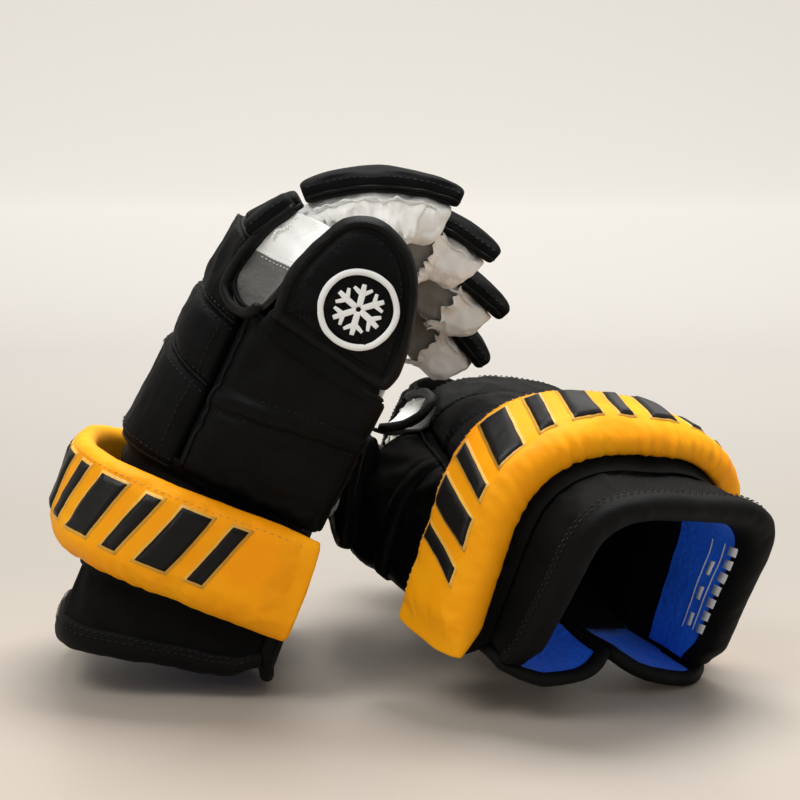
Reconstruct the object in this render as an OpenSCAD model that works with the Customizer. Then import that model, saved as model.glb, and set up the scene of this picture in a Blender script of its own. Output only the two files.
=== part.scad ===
// A pair of padded ice hockey gloves: the right one lies palm down, and the
// left one stands on its cuff and leans over it.
// Both are the same glove, drawn once in its own frame and mirrored.
//
// Frame of one glove, in millimetres: +Y from the cuff towards the fingertips,
// +Z out of the back of the hand, -X towards the thumb, Y = 0 at the wrist.

/* [Fingers] */
// Width of the outer pad of a finger
finger_w = 27.5; // [24:0.5:28]
// Thickness of the outer pads of the fingers
finger_pad_t = 12.5; // [10:0.5:13]
// Height of the leather stall that a finger goes into
stall_h = 23; // [20:0.5:23.5]
// Thickness of the walls of a stall
stall_t = 2.5; // [1.5:0.5:3.5]
// How far one finger is from the next
finger_step = 28.8; // [28.6:0.1:30]

/* [Hand] */
// Half the width over the knuckles
hand_w = 60; // [58:0.5:61]
// Thickness of the pads on the back of the hand
back_pad_t = 15; // [10:1:17]
// Thickness of the leather of the palm
palm_t = 3; // [2:0.5:4]
// Gap between two pieces that are sewn edge to edge
seam = 0.6; // [0.3:0.1:1]

/* [Thumb] */
// Thickness of the outer pad of the thumb
thumb_pad_t = 14; // [10:1:16]
// Length of the thumb pad from its crease
thumb_l = 73; // [70:1:82]

/* [Cuff] */
// Where the mouth of the cuff is along the glove
mouth_y = -140; // [-144:1:-134]
// Thickness of the padded wall of the cuff
cuff_t = 9; // [6:0.5:10]
// Thickness of the lining of the cuff
lining_t = 2.5; // [1.5:0.5:3]
// Thickness of the wrist roll
roll_t = 11; // [9:0.5:12]
// Length of the wrist roll along the glove
roll_l = 59; // [56:1:60]

/* [Placing] */
// Turn of the lying glove about the vertical
right_yaw = 36; // [33:0.5:38]
// How far the cuff of the lying glove drops below its fingers
right_pitch = 6; // [5:0.5:6.5]
// Roll of the lying glove towards its little finger's side
right_roll = 10; // [8:0.5:12]
// Width of the lying glove, which its own weight spreads
right_spread = 1.1; // [1:0.01:1.12]
// Height of the lying glove, which its own weight flattens
right_flat = 0.88; // [0.86:0.01:1]
// Height of its cuff, which is stiffer than its hand
right_cuff_flat = 0.95; // [0.9:0.01:0.96]
// How far the hand of the lying glove bends sideways, for each millimetre past its wrist
right_swing = 0.42; // [0.4:0.01:0.44]
// How far the hand of the lying glove rises, for each millimetre past its wrist
right_rise = 0.07; // [0.05:0.01:0.09]
// Lean of the standing glove towards the lying one
left_lean = 26; // [22:0.5:28]
// Turn of the standing glove about its own length
left_roll = 2; // [0:0.5:5]
// How far the standing glove tips away from the viewer
left_tip = 5; // [3:0.5:8]

/* [Hidden] */
// Each finger: name, place across the hand, knuckle's place along and above,
// length and pitch of its first stretch, then length, first and last pitch
// of its curved tip. Pitch is how far it points towards the palm. The number after
// them is the last pitch in the lying glove, whose fingers fold under it.
FINGERS = [
    ["index", -1.5, 79.5, 36, 24, 28, 66, 42, 86, 86],
    ["middle", -0.5, 80, 37, 24, 38, 84, 59, 104, 106],
    ["ring", 0.5, 75, 32, 24, 54, 91, 73, 111, 156],
    ["little", 1.5, 66, 22, 22, 62, 86, 85, 121, 180],
];
FINGER_NAMES = [for (f = FINGERS) f[0]];
SIDES = ["right", "left"];
HAND_PIECES = ["wrist_pad", "backhand_pad", "knuckle_pad", "side_panel", "palm"];
THUMB_PIECES = ["thumb_pad", "thumb_stall", "thumb_splint"];
CUFF_PIECES = ["cuff_shell", "cuff_lining", "cuff_flaps", "cuff_binding"];
ROLL_PIECES = ["wrist_roll", "roll_badge"];
FINGER_PIECES = ["base_pad", "base_stall", "tip_pad", "tip_stall"];

black = [0.06, 0.06, 0.06];
gold = [0.96, 0.62, 0.07];
chalk = [0.80, 0.82, 0.79];
blue = [0.06, 0.20, 0.62];
grey = [0.35, 0.35, 0.34];

square_e = 0.75;      // how square the sections are, 1 being an ellipse
stall_top = 10.5;     // top of a stall above the middle of its finger
stall_mid = stall_top - stall_h / 2;
pad_gap = 1.2;        // lining between a stall and its pad
joint_gap = 4.2;      // how far a stall stays off its joint
joint_lean = 0.3;     // how much its end faces lean back, for the fold of the palm side
knuckle_gap = 3;      // from the backhand pad to the knuckles
wrist_y = -48;        // the wrist's fold
shell_front = wrist_y - 6;
hand_back = wrist_y + 5;
wrist_end = 2;        // between the wrist pad and the backhand pad
knuckle_start = 38;   // between the backhand pad and the knuckle pad
thumb_y = 47;         // the thumb's crease
roll_y = mouth_y + 36;

right_wrist = [50, 0, 42.4];   // middle of the lying glove's wrist
left_wrist = [-68, -20, 108];   // middle of the standing glove's wrist
pair_middle = [4.3, -1.3];        // middle of the ground that the pair covers
cuff_foot = -60;                // height in the glove that the cuff's flattening leaves alone
pair_drop = 31.5;               // lift that brings its lowest points to Z = 0

// ---- Points -------------------------------------------------------------

function bent(v, e = square_e) = sign(v) * pow(abs(v), e);

function mix(a, b, t) = a + (b - a) * t;

// The same finger as it is in the lying glove.
function folded(f) = concat([for (i = [0:7]) f[i]], [f[9]]);

// Middle of a finger's first stretch at a distance s past its knuckle: [x, y, z, pitch].
function base_at(f, s) = [
    f[1] * finger_step,
    f[2] + s * cos(f[5]),
    f[3] - s * sin(f[5]),
    f[5]
];

// Middle of a finger's curved tip at a distance s past its middle joint.
function tip_at(f, s) = let (
    joint = base_at(f, f[4]),
    pitch = mix(f[7], f[8], s / f[6]),
    radius = f[6] / ((f[8] - f[7]) * PI / 180)
) [
    joint[0],
    joint[1] + radius * (sin(pitch) - sin(f[7])),
    joint[2] + radius * (cos(pitch) - cos(f[7])),
    pitch
];

// Closed ring of n points across a finger at c, half as wide as w and as high as h,
// middle m above the finger's middle. Its face leans by lean for each millimetre up.
function ring(c, w, h, m, lean = 0, shift = 0, n = 12) = [
    for (i = [0:n - 1]) let (
        t = 360 * i / n,
        up = m + h * bent(sin(t)),
        along = shift + lean * up
    ) [
        c[0] + w * bent(cos(t)),
        c[1] + along * cos(c[3]) + up * sin(c[3]),
        c[2] - along * sin(c[3]) + up * cos(c[3])
    ]
];

// Arch over the hand in the plane at y: a leg down to [foot_x, foot_z] on each side
// of a half ellipse of half width w and height h that springs from z.
function arch(y, w, h, z, foot_x, foot_z, n = 14, e = square_e) = concat(
    [[foot_x, y, foot_z]],
    [for (i = [0:n]) [w * bent(cos(180 * i / n), e), y, z + h * bent(sin(180 * i / n), e)]],
    [[-foot_x, y, foot_z]]
);

// Arch that covers the back of the hand from the little finger's side to the seam
// with the side panel, at the angle last.
function back_arch(y, w, h, z, foot_z, last, n = 14) = concat(
    [[w - 1, y, foot_z]],
    [for (i = [0:n]) [w * bent(cos(last * i / n)), y, z + h * bent(sin(last * i / n))]]
);

// ---- Solids -------------------------------------------------------------

// Side faces between m rings of n points that start at the point number first.
function walls(n, m, first = 0, flip = false) = [
    for (j = [0:m - 2], i = [0:n - 1]) let (
        a = first + j * n + i,
        b = first + j * n + (i + 1) % n,
        c = first + (j + 1) * n + (i + 1) % n,
        d = first + (j + 1) * n + i
    ) each (flip ? [[a, c, b], [a, d, c]] : [[a, b, c], [a, c, d]])
];

// Solid through closed rings, with flat ends.
module loft(rings) {
    n = len(rings[0]);
    m = len(rings);
    polyhedron(
        points = [for (r = rings) each r],
        faces = concat(
            walls(n, m),
            [[for (i = [n - 1:-1:0]) i]],
            [[for (i = [0:n - 1]) (m - 1) * n + i]]
        )
    );
}

// Tube with a wall between outer and inner rings, open at its start, and at its end
// too unless it is closed.
module tube(outer, inner, closed = false) {
    n = len(outer[0]);
    m = len(outer);
    k = len(inner);
    far = m * n;
    polyhedron(
        points = [for (r = concat(outer, inner)) each r],
        faces = concat(
            walls(n, m),
            walls(n, k, far, true),
            [for (i = [0:n - 1]) let (j = (i + 1) % n) each
                [[j, i, far + j], [far + j, i, far + i]]],
            closed
                ? concat(
                    [[for (i = [0:n - 1]) (m - 1) * n + i]],
                    [[for (i = [n - 1:-1:0]) far + (k - 1) * n + i]]
                )
                : [for (i = [0:n - 1]) let (
                    j = (i + 1) % n,
                    a = (m - 1) * n,
                    b = far + (k - 1) * n
                ) each [[a + i, a + j, b + i], [b + i, a + j, b + j]]]
        )
    );
}

// Padded sheet between an outer and an inner line at each of its stations.
module sheet(stations) {
    k = len(stations[0][0]);
    n = 2 * k;
    m = len(stations);
    last = (m - 1) * n;
    rings = [for (s = stations) concat(s[0], [for (i = [k - 1:-1:0]) s[1][i]])];
    polyhedron(
        points = [for (r = rings) each r],
        faces = concat(
            walls(n, m),
            [for (i = [0:k - 2]) each
                [[i + 1, i, n - 2 - i], [n - 2 - i, i, n - 1 - i]]],
            [for (i = [0:k - 2]) each
                [[last + i, last + i + 1, last + n - 1 - i],
                 [last + n - 1 - i, last + i + 1, last + n - 2 - i]]]
        )
    );
}

// ---- Fingers ------------------------------------------------------------

pad_mid = stall_top + pad_gap + finger_pad_t / 2;

module finger_base_pad(f) {
    half = finger_w / 2;
    back = -tan(f[5] / 2);
    color(black) loft([
        ring(base_at(f, 0), half * 0.9, finger_pad_t * 0.45, pad_mid, back, 0.6),
        ring(base_at(f, 0), half, finger_pad_t / 2, pad_mid, back * 0.9, 3.5),
        ring(base_at(f, f[4]), half, finger_pad_t / 2, pad_mid, 0, -3.5),
        ring(base_at(f, f[4]), half * 0.9, finger_pad_t * 0.45, pad_mid, 0, -0.8)
    ]);
}

module finger_tip_pad(f) {
    half = finger_w / 2;
    color(black) loft([
        for (s = [[0.01, 0.9], [0.07, 1], [0.3, 1], [0.55, 1], [0.8, 0.97], [0.95, 0.9], [1.07, 0.62]])
            ring(tip_at(f, s[0] * f[6]), half * s[1], finger_pad_t / 2 * s[1], pad_mid)
    ]);
}

module finger_base_stall(f) {
    half = finger_w / 2 - 1.5;
    a = base_at(f, 0);
    b = base_at(f, f[4]);
    color(chalk) tube(
        [
            ring(a, half, stall_h / 2, stall_mid, -joint_lean, joint_gap),
            ring(b, half, stall_h / 2, stall_mid, joint_lean, -joint_gap)
        ],
        [
            ring(a, half - stall_t, stall_h / 2 - stall_t, stall_mid, -joint_lean, joint_gap),
            ring(b, half - stall_t, stall_h / 2 - stall_t, stall_mid, joint_lean, -joint_gap)
        ]
    );
}

module finger_tip_stall(f) {
    half = finger_w / 2 - 1.5;
    color(chalk) tube(
        concat(
            [ring(tip_at(f, 0), half, stall_h / 2, stall_mid, -joint_lean, joint_gap)],
            [for (s = [[0.25, 1], [0.5, 0.97], [0.75, 0.93], [0.95, 0.8], [1.03, 0.5]])
                ring(tip_at(f, s[0] * f[6]), half * s[1], stall_h / 2 * s[1], stall_mid)]
        ),
        concat(
            [ring(tip_at(f, 0), half - stall_t, stall_h / 2 - stall_t, stall_mid, -joint_lean, joint_gap)],
            [for (s = [[0.25, 1], [0.5, 0.97], [0.75, 0.92], [0.92, 0.7]])
                ring(tip_at(f, s[0] * f[6]), half * s[1] - stall_t, stall_h / 2 * s[1] - stall_t, stall_mid)]
        ),
        closed = true
    );
}

// ---- Thumb --------------------------------------------------------------

thumb_x = -91.5;       // middle of the thumb pad's thickness
crease = 0.15;         // how far it leans forward for each millimetre up
thumb_z = -6;          // middle of its crease
thumb_rise = 0.03;     // how far its middle rises along its length

// Lean of a section of the thumb at a distance s from the crease.
function crease_at(s) = crease * max(0, 1 - s / 50);

module thumb_pad() {
    color(black) loft([
        for (s = [[1, 0.86, 40], [12, 1, 40], [32, 1, 37], [52, 1, 32], [66, 0.95, 24], [74, 0.8, 15], [78, 0.5, 6]])
            let (
                y = thumb_y + s[0] * thumb_l / 78,
                z = thumb_z + thumb_rise * s[0]
            )
            [for (i = [0:15]) [
                thumb_x + thumb_pad_t / 2 * s[1] * bent(cos(22.5 * i)),
                y + crease_at(s[0]) * s[2] * bent(sin(22.5 * i), 0.9),
                z + s[2] * bent(sin(22.5 * i), 0.9)
            ]]
    ]);
}

// One ring of the thumb's stall: half as wide as w and as high as h.
function thumb_ring(s, w, h) = [
    for (i = [0:11]) [
        thumb_x + 19 + w * bent(cos(30 * i)),
        thumb_y + s * thumb_l / 78 + crease_at(s) * (h * bent(sin(30 * i)) - 4),
        thumb_z - 4 + thumb_rise * s + h * bent(sin(30 * i))
    ]
];

module thumb_stall() {
    color(chalk) tube(
        [for (s = [[6, 9.5, 22], [24, 9.5, 21], [44, 9, 19], [60, 8.5, 15], [70, 6, 8]])
            thumb_ring(s[0], s[1], s[2])],
        [for (s = [[6, 7, 19.5], [24, 7, 18.5], [44, 6.5, 16.5], [60, 6, 11]])
            thumb_ring(s[0], s[1], s[2])],
        closed = true
    );
}

// Plastic plate between the thumb's pad and its stall, which stops it bending backwards.
module thumb_splint() {
    color(grey) loft([
        for (s = [[8, 15], [30, 16], [52, 13], [64, 8]])
            [for (i = [0:11]) [
                thumb_x + 8.35 + 0.8 * bent(cos(30 * i)),
                thumb_y + s[0] * thumb_l / 78,
                thumb_z - 4 + s[1] * bent(sin(30 * i))
            ]]
    ]);
}

// ---- Hand ---------------------------------------------------------------

// Value k of the finger at x, taken between two fingers where x lies between them.
function across(x, k) = lookup(x, [for (f = FINGERS) [f[1] * finger_step, f[k]]]);

// A point of the back moved to the hand's front face, which leans over the knuckle
// by half of the finger's pitch.
function fronted(p) = [
    p[0],
    across(p[0], 2) - knuckle_gap + tan(across(p[0], 5) / 2) * (p[2] - across(p[0], 3)),
    p[2]
];

// Outline of the back of the hand at y, in by d.
function back_line(y, d, front = false) = let (
    t = (y - hand_back) / (85 - hand_back),
    points = back_arch(
        y,
        hand_w - d,
        mix(49.5, 35, t) - d,
        mix(22, 28, t),
        mix(-20, 2, t),
        168
    )
) front ? [for (p = points) fronted(p)] : points;

module wrist_pad() {
    color(black) sheet([
        for (y = [hand_back, -20, wrist_end - seam])
            [back_line(y, 0), back_line(y, back_pad_t)]
    ]);
}

module backhand_pad() {
    color(black) sheet([
        for (y = [wrist_end + seam, 24, knuckle_start - seam])
            [back_line(y, 0), back_line(y, back_pad_t)]
    ]);
}

module knuckle_pad() {
    color(black) sheet([
        for (y = [knuckle_start + seam, 85])
            [back_line(y, 0, y == 85), back_line(y, back_pad_t, y == 85)]
    ]);
}

// Outer line of the side panel at y, as a list of [x, z] down from its seam with the back.
function side_line(y, d) = let (t = (y - hand_back) / (thumb_y - hand_back)) [
    [mix(-59, -61, t) + 0.5 * d, y, mix(35, 36, t) - 0.6 * d],
    [mix(-61, -80, t) + d, y, mix(24, 28, t) - 0.5 * d],
    [mix(-62, -95, t) + d, y, mix(4, 8, t)],
    [mix(-62, -97, t) + d, y, mix(-20, -18, t)],
    [mix(-61, -95, t) + d, y, mix(-41, -40, t)],
    [mix(-55, -88, t) + 0.5 * d, y, mix(-49, -47, t) + 0.7 * d]
];

// The same line in front, leaning with the thumb's crease.
function creased(points) = [for (p = points) [p[0], p[1] + crease * (p[2] - thumb_z), p[2]]];

module side_panel() {
    color(black) sheet([
        for (y = [hand_back, 0, thumb_y - 1])
            y > 0
                ? [creased(side_line(y, 0)), creased(side_line(y, 9))]
                : [side_line(y, 0), side_line(y, 9)]
    ]);
}

// Line of the palm across the glove at y, raised by d.
function palm_line(y, d) = let (t = (y - hand_back) / (85 - hand_back)) [
    [hand_w - 4 - d, y, mix(-21, 1, t)],
    [hand_w - 10 - d, y, mix(-31, -5, t) + d],
    [20, y, mix(-35, 2, t) + d],
    [-25, y, mix(-35, 6, t) + d],
    [-50, y, mix(-36, 4, t) + d]
];

// Line of the ball of the thumb, from the palm down to the side panel.
function ball_line(y, d) = let (t = (y - hand_back) / (thumb_y - hand_back)) [
    [mix(-46.5, -53, t), y, mix(-37, -13, t) + d],
    [mix(-48, -66, t), y, mix(-40, -30, t) + d],
    [mix(-49.5, -78, t), y, mix(-44, -44, t) + d]
];

module palm() {
    color(chalk) {
        sheet([for (y = [hand_back, 0, 40, 56]) [palm_line(y, palm_t), palm_line(y, 0)]]);
        sheet([for (y = [hand_back, 0, thumb_y - 2]) [ball_line(y, palm_t), ball_line(y, 0)]]);
    }
}

// ---- Cuff ---------------------------------------------------------------

lining_gap = 2.2;       // room between the padding and its lining
mouth_slant = 0.3;    // how far the mouth goes back for each millimetre up

// Where a point of the cuff is along the glove, as the mouth slants.
function cuff_y(y, z) = y - mouth_slant * z * (shell_front - y) / (shell_front - mouth_y);

// Outline of the cuff at y, in by d.
function cuff_line(y, d) = let (t = (y - mouth_y) / (shell_front - mouth_y)) [
    for (p = arch(
        y,
        mix(63, 57, t) - d,
        mix(53, 54, t) - d,
        mix(3, 9, t),
        mix(66, 59, t) - d,
        mix(-50, -42, t),
        e = mix(0.54, square_e, t)
    )) [p[0], cuff_y(y, p[2]), p[2]]
];

module cuff_shell() {
    color(black) sheet([
        for (y = [mouth_y + 5, -100, shell_front])
            [cuff_line(y, 0), cuff_line(y, cuff_t)]
    ]);
}

module cuff_lining() {
    color(blue) sheet([
        for (y = [mouth_y + 5, -100, shell_front])
            [cuff_line(y, cuff_t + lining_gap), cuff_line(y, cuff_t + lining_gap + lining_t)]
    ]);
}

module cuff_binding() {
    color(black) sheet([
        for (y = [mouth_y, mouth_y + 4.5])
            [cuff_line(y, 0), cuff_line(y, cuff_t + lining_gap + lining_t)]
    ]);
}

// Line of the flap on one side of the palm side's slit.
function flap_line(side, y, d) = let (t = (y - mouth_y) / (shell_front - mouth_y)) [
    for (p = [[3, -47], [22, -56], [44, -58], [66, -55]])
        [
            side * mix(p[0], p[0] * 0.92, t),
            cuff_y(y, mix(p[1], p[1] + 8, t)),
            mix(p[1], p[1] + 8, t) + d
        ]
];

module cuff_flaps() {
    color(black) for (side = [-1, 1])
        sheet([
            for (y = [mouth_y, -100, shell_front])
                side > 0
                    ? [flap_line(side, y, 0), flap_line(side, y, 4.5)]
                    : [flap_line(side, y, 4.5), flap_line(side, y, 0)]
        ]);
}

// ---- Wrist roll ---------------------------------------------------------

roll_slant = 0.09;    // how far the roll goes back for each millimetre up

// Half width, half height and middle of the roll's inner face at t along it.
function roll_size(t) = [mix(65.5, 66, t), mix(59, 68.5, t), mix(6, 9.5, t)];

// A point of the roll moved by its slant.
function rolled(p) = [p[0], p[1] - roll_slant * (p[2] - 5), p[2]];

// Line round the roll at y, out by d from its inner face.
function roll_line(y, d) = let (
    t = (y - roll_y) / roll_l,
    r = roll_size(t)
) [
    for (p = arch(y, r[0] + d, r[1] + d, r[2], mix(69.5, 69, t) + d, mix(-55, -50, t)))
        rolled(p)
];

// Thickness of the roll at y: it is fuller along its edge at the cuff.
function roll_thick(y) = roll_t + 6 * (1 - (y - roll_y) / roll_l);

module wrist_roll() {
    color(gold) sheet([
        for (y = [roll_y, roll_y + 7, roll_y + roll_l - 6, roll_y + roll_l])
            let (d = roll_thick(y) - (y == roll_y ? 7 : y == roll_y + roll_l ? 3 : 0))
            [roll_line(y, d), roll_line(y, 0)]
    ]);
}

bars = 9;              // slanted bars of the embroidered band
bar_turn = 11;         // how much of the roll's arch each one covers
bar_step = 18.5;
bar_slant = 6;

// Line along one bar on the roll's outer face, raised by d.
function bar_line(k, y, lean, d, n = 4) = [
    for (i = [0:n]) let (
        t = 90 + (k - (bars - 1) / 2) * bar_step + bar_turn * (i / n - 0.5) + lean,
        r = roll_size((y - roll_y) / roll_l),
        w = r[0] + roll_thick(y) + d,
        h = r[1] + roll_thick(y) + d
    ) rolled([w * bent(cos(t)), y, r[2] + h * bent(sin(t))])
];

module roll_badge() {
    color(black) for (k = [0:bars - 1])
        sheet([
            for (e = [[-0.5, -1], [0.5, 1]]) let (y = roll_y + roll_l / 2 + 1 + 38 * e[0])
                [bar_line(k, y, bar_slant * e[1], 2.4), bar_line(k, y, bar_slant * e[1], 0.9)]
        ]);
}

// ---- One glove ----------------------------------------------------------

module piece(name) {
    if (name == "wrist_pad") wrist_pad();
    if (name == "backhand_pad") backhand_pad();
    if (name == "knuckle_pad") knuckle_pad();
    if (name == "side_panel") side_panel();
    if (name == "palm") palm();
    if (name == "thumb_pad") thumb_pad();
    if (name == "thumb_stall") thumb_stall();
    if (name == "thumb_splint") thumb_splint();
    if (name == "cuff_shell") cuff_shell();
    if (name == "cuff_lining") cuff_lining();
    if (name == "cuff_flaps") cuff_flaps();
    if (name == "cuff_binding") cuff_binding();
    if (name == "wrist_roll") wrist_roll();
    if (name == "roll_badge") roll_badge();
}

module finger_piece(f, name) {
    if (name == "base_pad") finger_base_pad(f);
    if (name == "base_stall") finger_base_stall(f);
    if (name == "tip_pad") finger_tip_pad(f);
    if (name == "tip_stall") finger_tip_stall(f);
}

module placed(side, swing = true) {
    bend = swing ? right_swing : 0;
    rise = swing ? right_rise : 0;
    flat = swing ? right_flat : right_cuff_flat;
    translate([-pair_middle[0], -pair_middle[1], pair_drop])
        if (side == "right")
            translate(right_wrist)
                rotate([0, 0, right_yaw]) rotate([right_pitch, 0, 0]) rotate([0, right_roll, 0])
                    translate([0, 0, cuff_foot * (right_flat - flat)]) scale([right_spread, 1, flat])
                        multmatrix([
                            [1, bend, 0, -bend * wrist_y],
                            [0, 1, 0, 0],
                            [0, rise, 1, -rise * wrist_y]
                        ]) children();
        else
            translate(left_wrist)
                rotate([-left_tip, 0, 0]) rotate([0, left_lean, 0]) rotate([0, 0, left_roll])
                    rotate([0, 0, -90]) rotate([90, 0, 0]) mirror([1, 0, 0]) children();
}

for (side = SIDES) {
    for (p = concat(HAND_PIECES, THUMB_PIECES))
        placed(side) piece(p);
    for (p = concat(CUFF_PIECES, ROLL_PIECES))
        placed(side, false) piece(p);
    for (f = FINGERS, p = FINGER_PIECES)
        placed(side) finger_piece(side == "right" ? folded(f) : f, p);
}
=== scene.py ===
import math
from collections import namedtuple

import bpy
import numpy as np
from mathutils import Matrix, Vector


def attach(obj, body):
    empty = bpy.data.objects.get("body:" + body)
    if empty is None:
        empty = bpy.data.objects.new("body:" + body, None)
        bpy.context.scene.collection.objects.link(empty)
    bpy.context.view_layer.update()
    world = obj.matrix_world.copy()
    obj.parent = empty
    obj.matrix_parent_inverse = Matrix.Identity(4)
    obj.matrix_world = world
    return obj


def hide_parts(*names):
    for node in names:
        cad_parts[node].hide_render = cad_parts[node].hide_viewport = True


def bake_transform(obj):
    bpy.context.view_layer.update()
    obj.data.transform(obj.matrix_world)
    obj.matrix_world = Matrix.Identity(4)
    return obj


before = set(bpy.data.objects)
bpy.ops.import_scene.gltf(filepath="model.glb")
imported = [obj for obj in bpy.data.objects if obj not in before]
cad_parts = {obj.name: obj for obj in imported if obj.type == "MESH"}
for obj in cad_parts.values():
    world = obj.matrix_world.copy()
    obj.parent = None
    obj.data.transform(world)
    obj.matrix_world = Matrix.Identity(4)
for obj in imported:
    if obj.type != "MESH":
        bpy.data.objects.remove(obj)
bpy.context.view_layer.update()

scene = bpy.context.scene

# ---------------------------------------------------------------- placing
# One glove is drawn in millimetres in its own frame: +Y to the fingertips, +Z out of the
# back of the hand, -X to the thumb. The same numbers as in the CAD model place the two gloves.


def rot(axis, deg):
    return np.array(Matrix.Rotation(math.radians(deg), 3, axis))


MM = 1000  # in a metre
ON_GROUND = 0.0003  # the lowest that a point may be, in metres
GROUND = np.array([-4.3, 1.3, 31.5])
LEFT = (rot("X", -5) @ rot("Y", 26) @ rot("Z", 2) @ rot("Z", -90) @ rot("X", 90)
        @ np.diag([-1.0, 1, 1]))
LEFT_AT = np.array([-68, -20, 108]) + GROUND
# The right glove lies: its hand is flattened and leans sideways from the wrist, its cuff is
# flattened less.
LYING = rot("Z", 36) @ rot("X", 6) @ rot("Y", 10)
LYING_HAND, HAND_AT = LYING @ np.diag([1.1, 1, 0.88]), np.array([50, 0, 42.4]) + GROUND
LYING_CUFF, CUFF_AT = LYING @ np.diag([1.1, 1, 0.95]), HAND_AT + LYING @ np.array([0, 0, 4.2])
LEAN, RISE, LEAN_FROM = 0.42, 0.07, 48
SWING = np.array([[1, LEAN, 0], [0, 1, 0], [0, RISE, 1]])
SWING_AT = np.array([LEAN * LEAN_FROM, 0, RISE * LEAN_FROM])
SIDES = ("right", "left")


def to_world(points, side, hand):
    """Points in metres. hand is True in the hand, False in the cuff, "both" across the wrist."""
    p = np.asarray(points, float).reshape(-1, 3)
    if side == "left":
        return (p @ LEFT.T + LEFT_AT) / MM
    k = smooth(-66, -36, p[:, 1:2]) if hand == "both" else float(hand)
    in_hand = (p @ SWING.T + SWING_AT) @ LYING_HAND.T + HAND_AT
    return (in_hand * k + (p @ LYING_CUFF.T + CUFF_AT) * (1 - k)) / MM


# ---------------------------------------------------------------- shapes of the glove
# place across in steps, knuckle along and above, first stretch and its pitch, then the
# tip's length, first and last pitch. The fingers of the lying glove fold further.
Finger = namedtuple("Finger", "name place y z base pitch tip start end")
FINGERS = [
    Finger("index", -1.5, 79.5, 36, 24, 28, 66, 42, 86),
    Finger("middle", -0.5, 80, 37, 24, 38, 84, 59, 104),
    Finger("ring", 0.5, 75, 32, 24, 54, 91, 73, 111),
    Finger("little", 1.5, 66, 22, 22, 62, 86, 85, 121),
]
FOLDED = dict(index=86, middle=106, ring=156, little=180)
STEP, FINGER_W, PAD_T, STALL_H = 28.8, 27.5, 12.5, 26.0
STALL_TOP, PAD_GAP = 10.5, 1.2
STALL_MID = STALL_TOP - STALL_H / 2
PAD_MID = STALL_TOP + PAD_GAP + PAD_T / 2
HAND_W, BACK_T, KNUCKLES = 60.0, 15.0, 85
SHELL_FRONT, HAND_BACK = -54.0, -43.0
WRIST_END, KNUCKLE_START, THUMB_Y = 2.0, 38.0, 47.0
MOUTH_Y, CUFF_T, LINING_GAP, LINING_T = -140.0, 9.0, 2.2, 2.5
ROLL_Y, ROLL_L, ROLL_T = MOUTH_Y + 36, 59.0, 11.0
SLANT = 0.3
THUMB_X, CREASE, THUMB_Z, THUMB_RISE = -91.5, 0.15, -6.0, 0.03
THUMB_S = 73 / 78


def bent(v, e=0.75):
    v = np.asarray(v, float)
    return np.sign(v) * np.abs(v) ** e


def mix(a, b, t):
    return a + (b - a) * t


def smooth(a, b, x):
    t = np.clip((np.asarray(x, float) - a) / (b - a), 0, 1)
    return t * t * (3 - 2 * t)


def unit(v):
    v = np.asarray(v, float)
    return v / np.maximum(np.linalg.norm(v, axis=-1, keepdims=True), 1e-9)


# Places along a finger are [x, y, z, pitch in degrees].
def base_at(f, s):
    p = math.radians(f.pitch)
    return np.array([f.place * STEP, f.y + s * math.cos(p), f.z - s * math.sin(p), f.pitch])


def tip_at(f, s):
    j = base_at(f, f.base)
    pitch = mix(f.start, f.end, s / f.tip)
    radius = f.tip / math.radians(f.end - f.start)
    a, b = math.radians(f.start), math.radians(pitch)
    return np.array([j[0], j[1] + radius * (math.sin(b) - math.sin(a)),
                     j[2] + radius * (math.cos(b) - math.cos(a)), pitch])


def posed(f, side):
    """The finger as it is in the lying or the standing glove."""
    return f._replace(end=FOLDED[f.name]) if side == "right" else f


def finger_at(f, s, blend=8):
    """Middle of a finger at s past its knuckle, over both stretches, with its bend smoothed."""
    if s <= f.base - blend:
        return base_at(f, s)
    if s >= f.base + blend:
        return tip_at(f, s - f.base)
    a, b = base_at(f, f.base - blend), tip_at(f, blend)
    t = (s - f.base + blend) / (2 * blend)
    pa, pb = math.radians(a[3]), math.radians(b[3])
    ta = np.array([math.cos(pa), -math.sin(pa)]) * 2 * blend
    tb = np.array([math.cos(pb), -math.sin(pb)]) * 2 * blend
    h = [2 * t**3 - 3 * t**2 + 1, t**3 - 2 * t**2 + t, -2 * t**3 + 3 * t**2, t**3 - t**2]
    yz = h[0] * a[1:3] + h[1] * ta + h[2] * b[1:3] + h[3] * tb
    return np.array([a[0], yz[0], yz[1], mix(a[3], b[3], t)])


def turn(n):
    return 2 * math.pi * np.arange(n) / n


def ring(c, w, h, m, lean=0.0, n=36, e=0.72):
    """A rounded box round a place c on a finger, its middle m above it."""
    up = m + h * bent(np.sin(turn(n)), e)
    along = lean * up
    p = math.radians(c[3])
    return np.stack([c[0] + w * bent(np.cos(turn(n)), e),
                     c[1] + along * math.cos(p) + up * math.sin(p),
                     c[2] - along * math.sin(p) + up * math.cos(p)], 1)


def lengths(p):
    """How far along a line each of its points is."""
    return np.r_[0, np.cumsum(np.linalg.norm(np.diff(p, axis=0), axis=1))]


def resample(p, d, s):
    """The rows of p, which are at d, read at s."""
    return np.stack([np.interp(s, d, p[:, k]) for k in range(3)], 1)


def even(points, n, closed=False):
    """n points evenly spaced along a line of points."""
    p = np.asarray(points, float)
    if closed:
        p = np.vstack([p, p[:1]])
    d = lengths(p)
    s = np.linspace(0, d[-1], n + 1)[:-1] if closed else np.linspace(0, d[-1], n)
    return resample(p, d, s)


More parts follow.
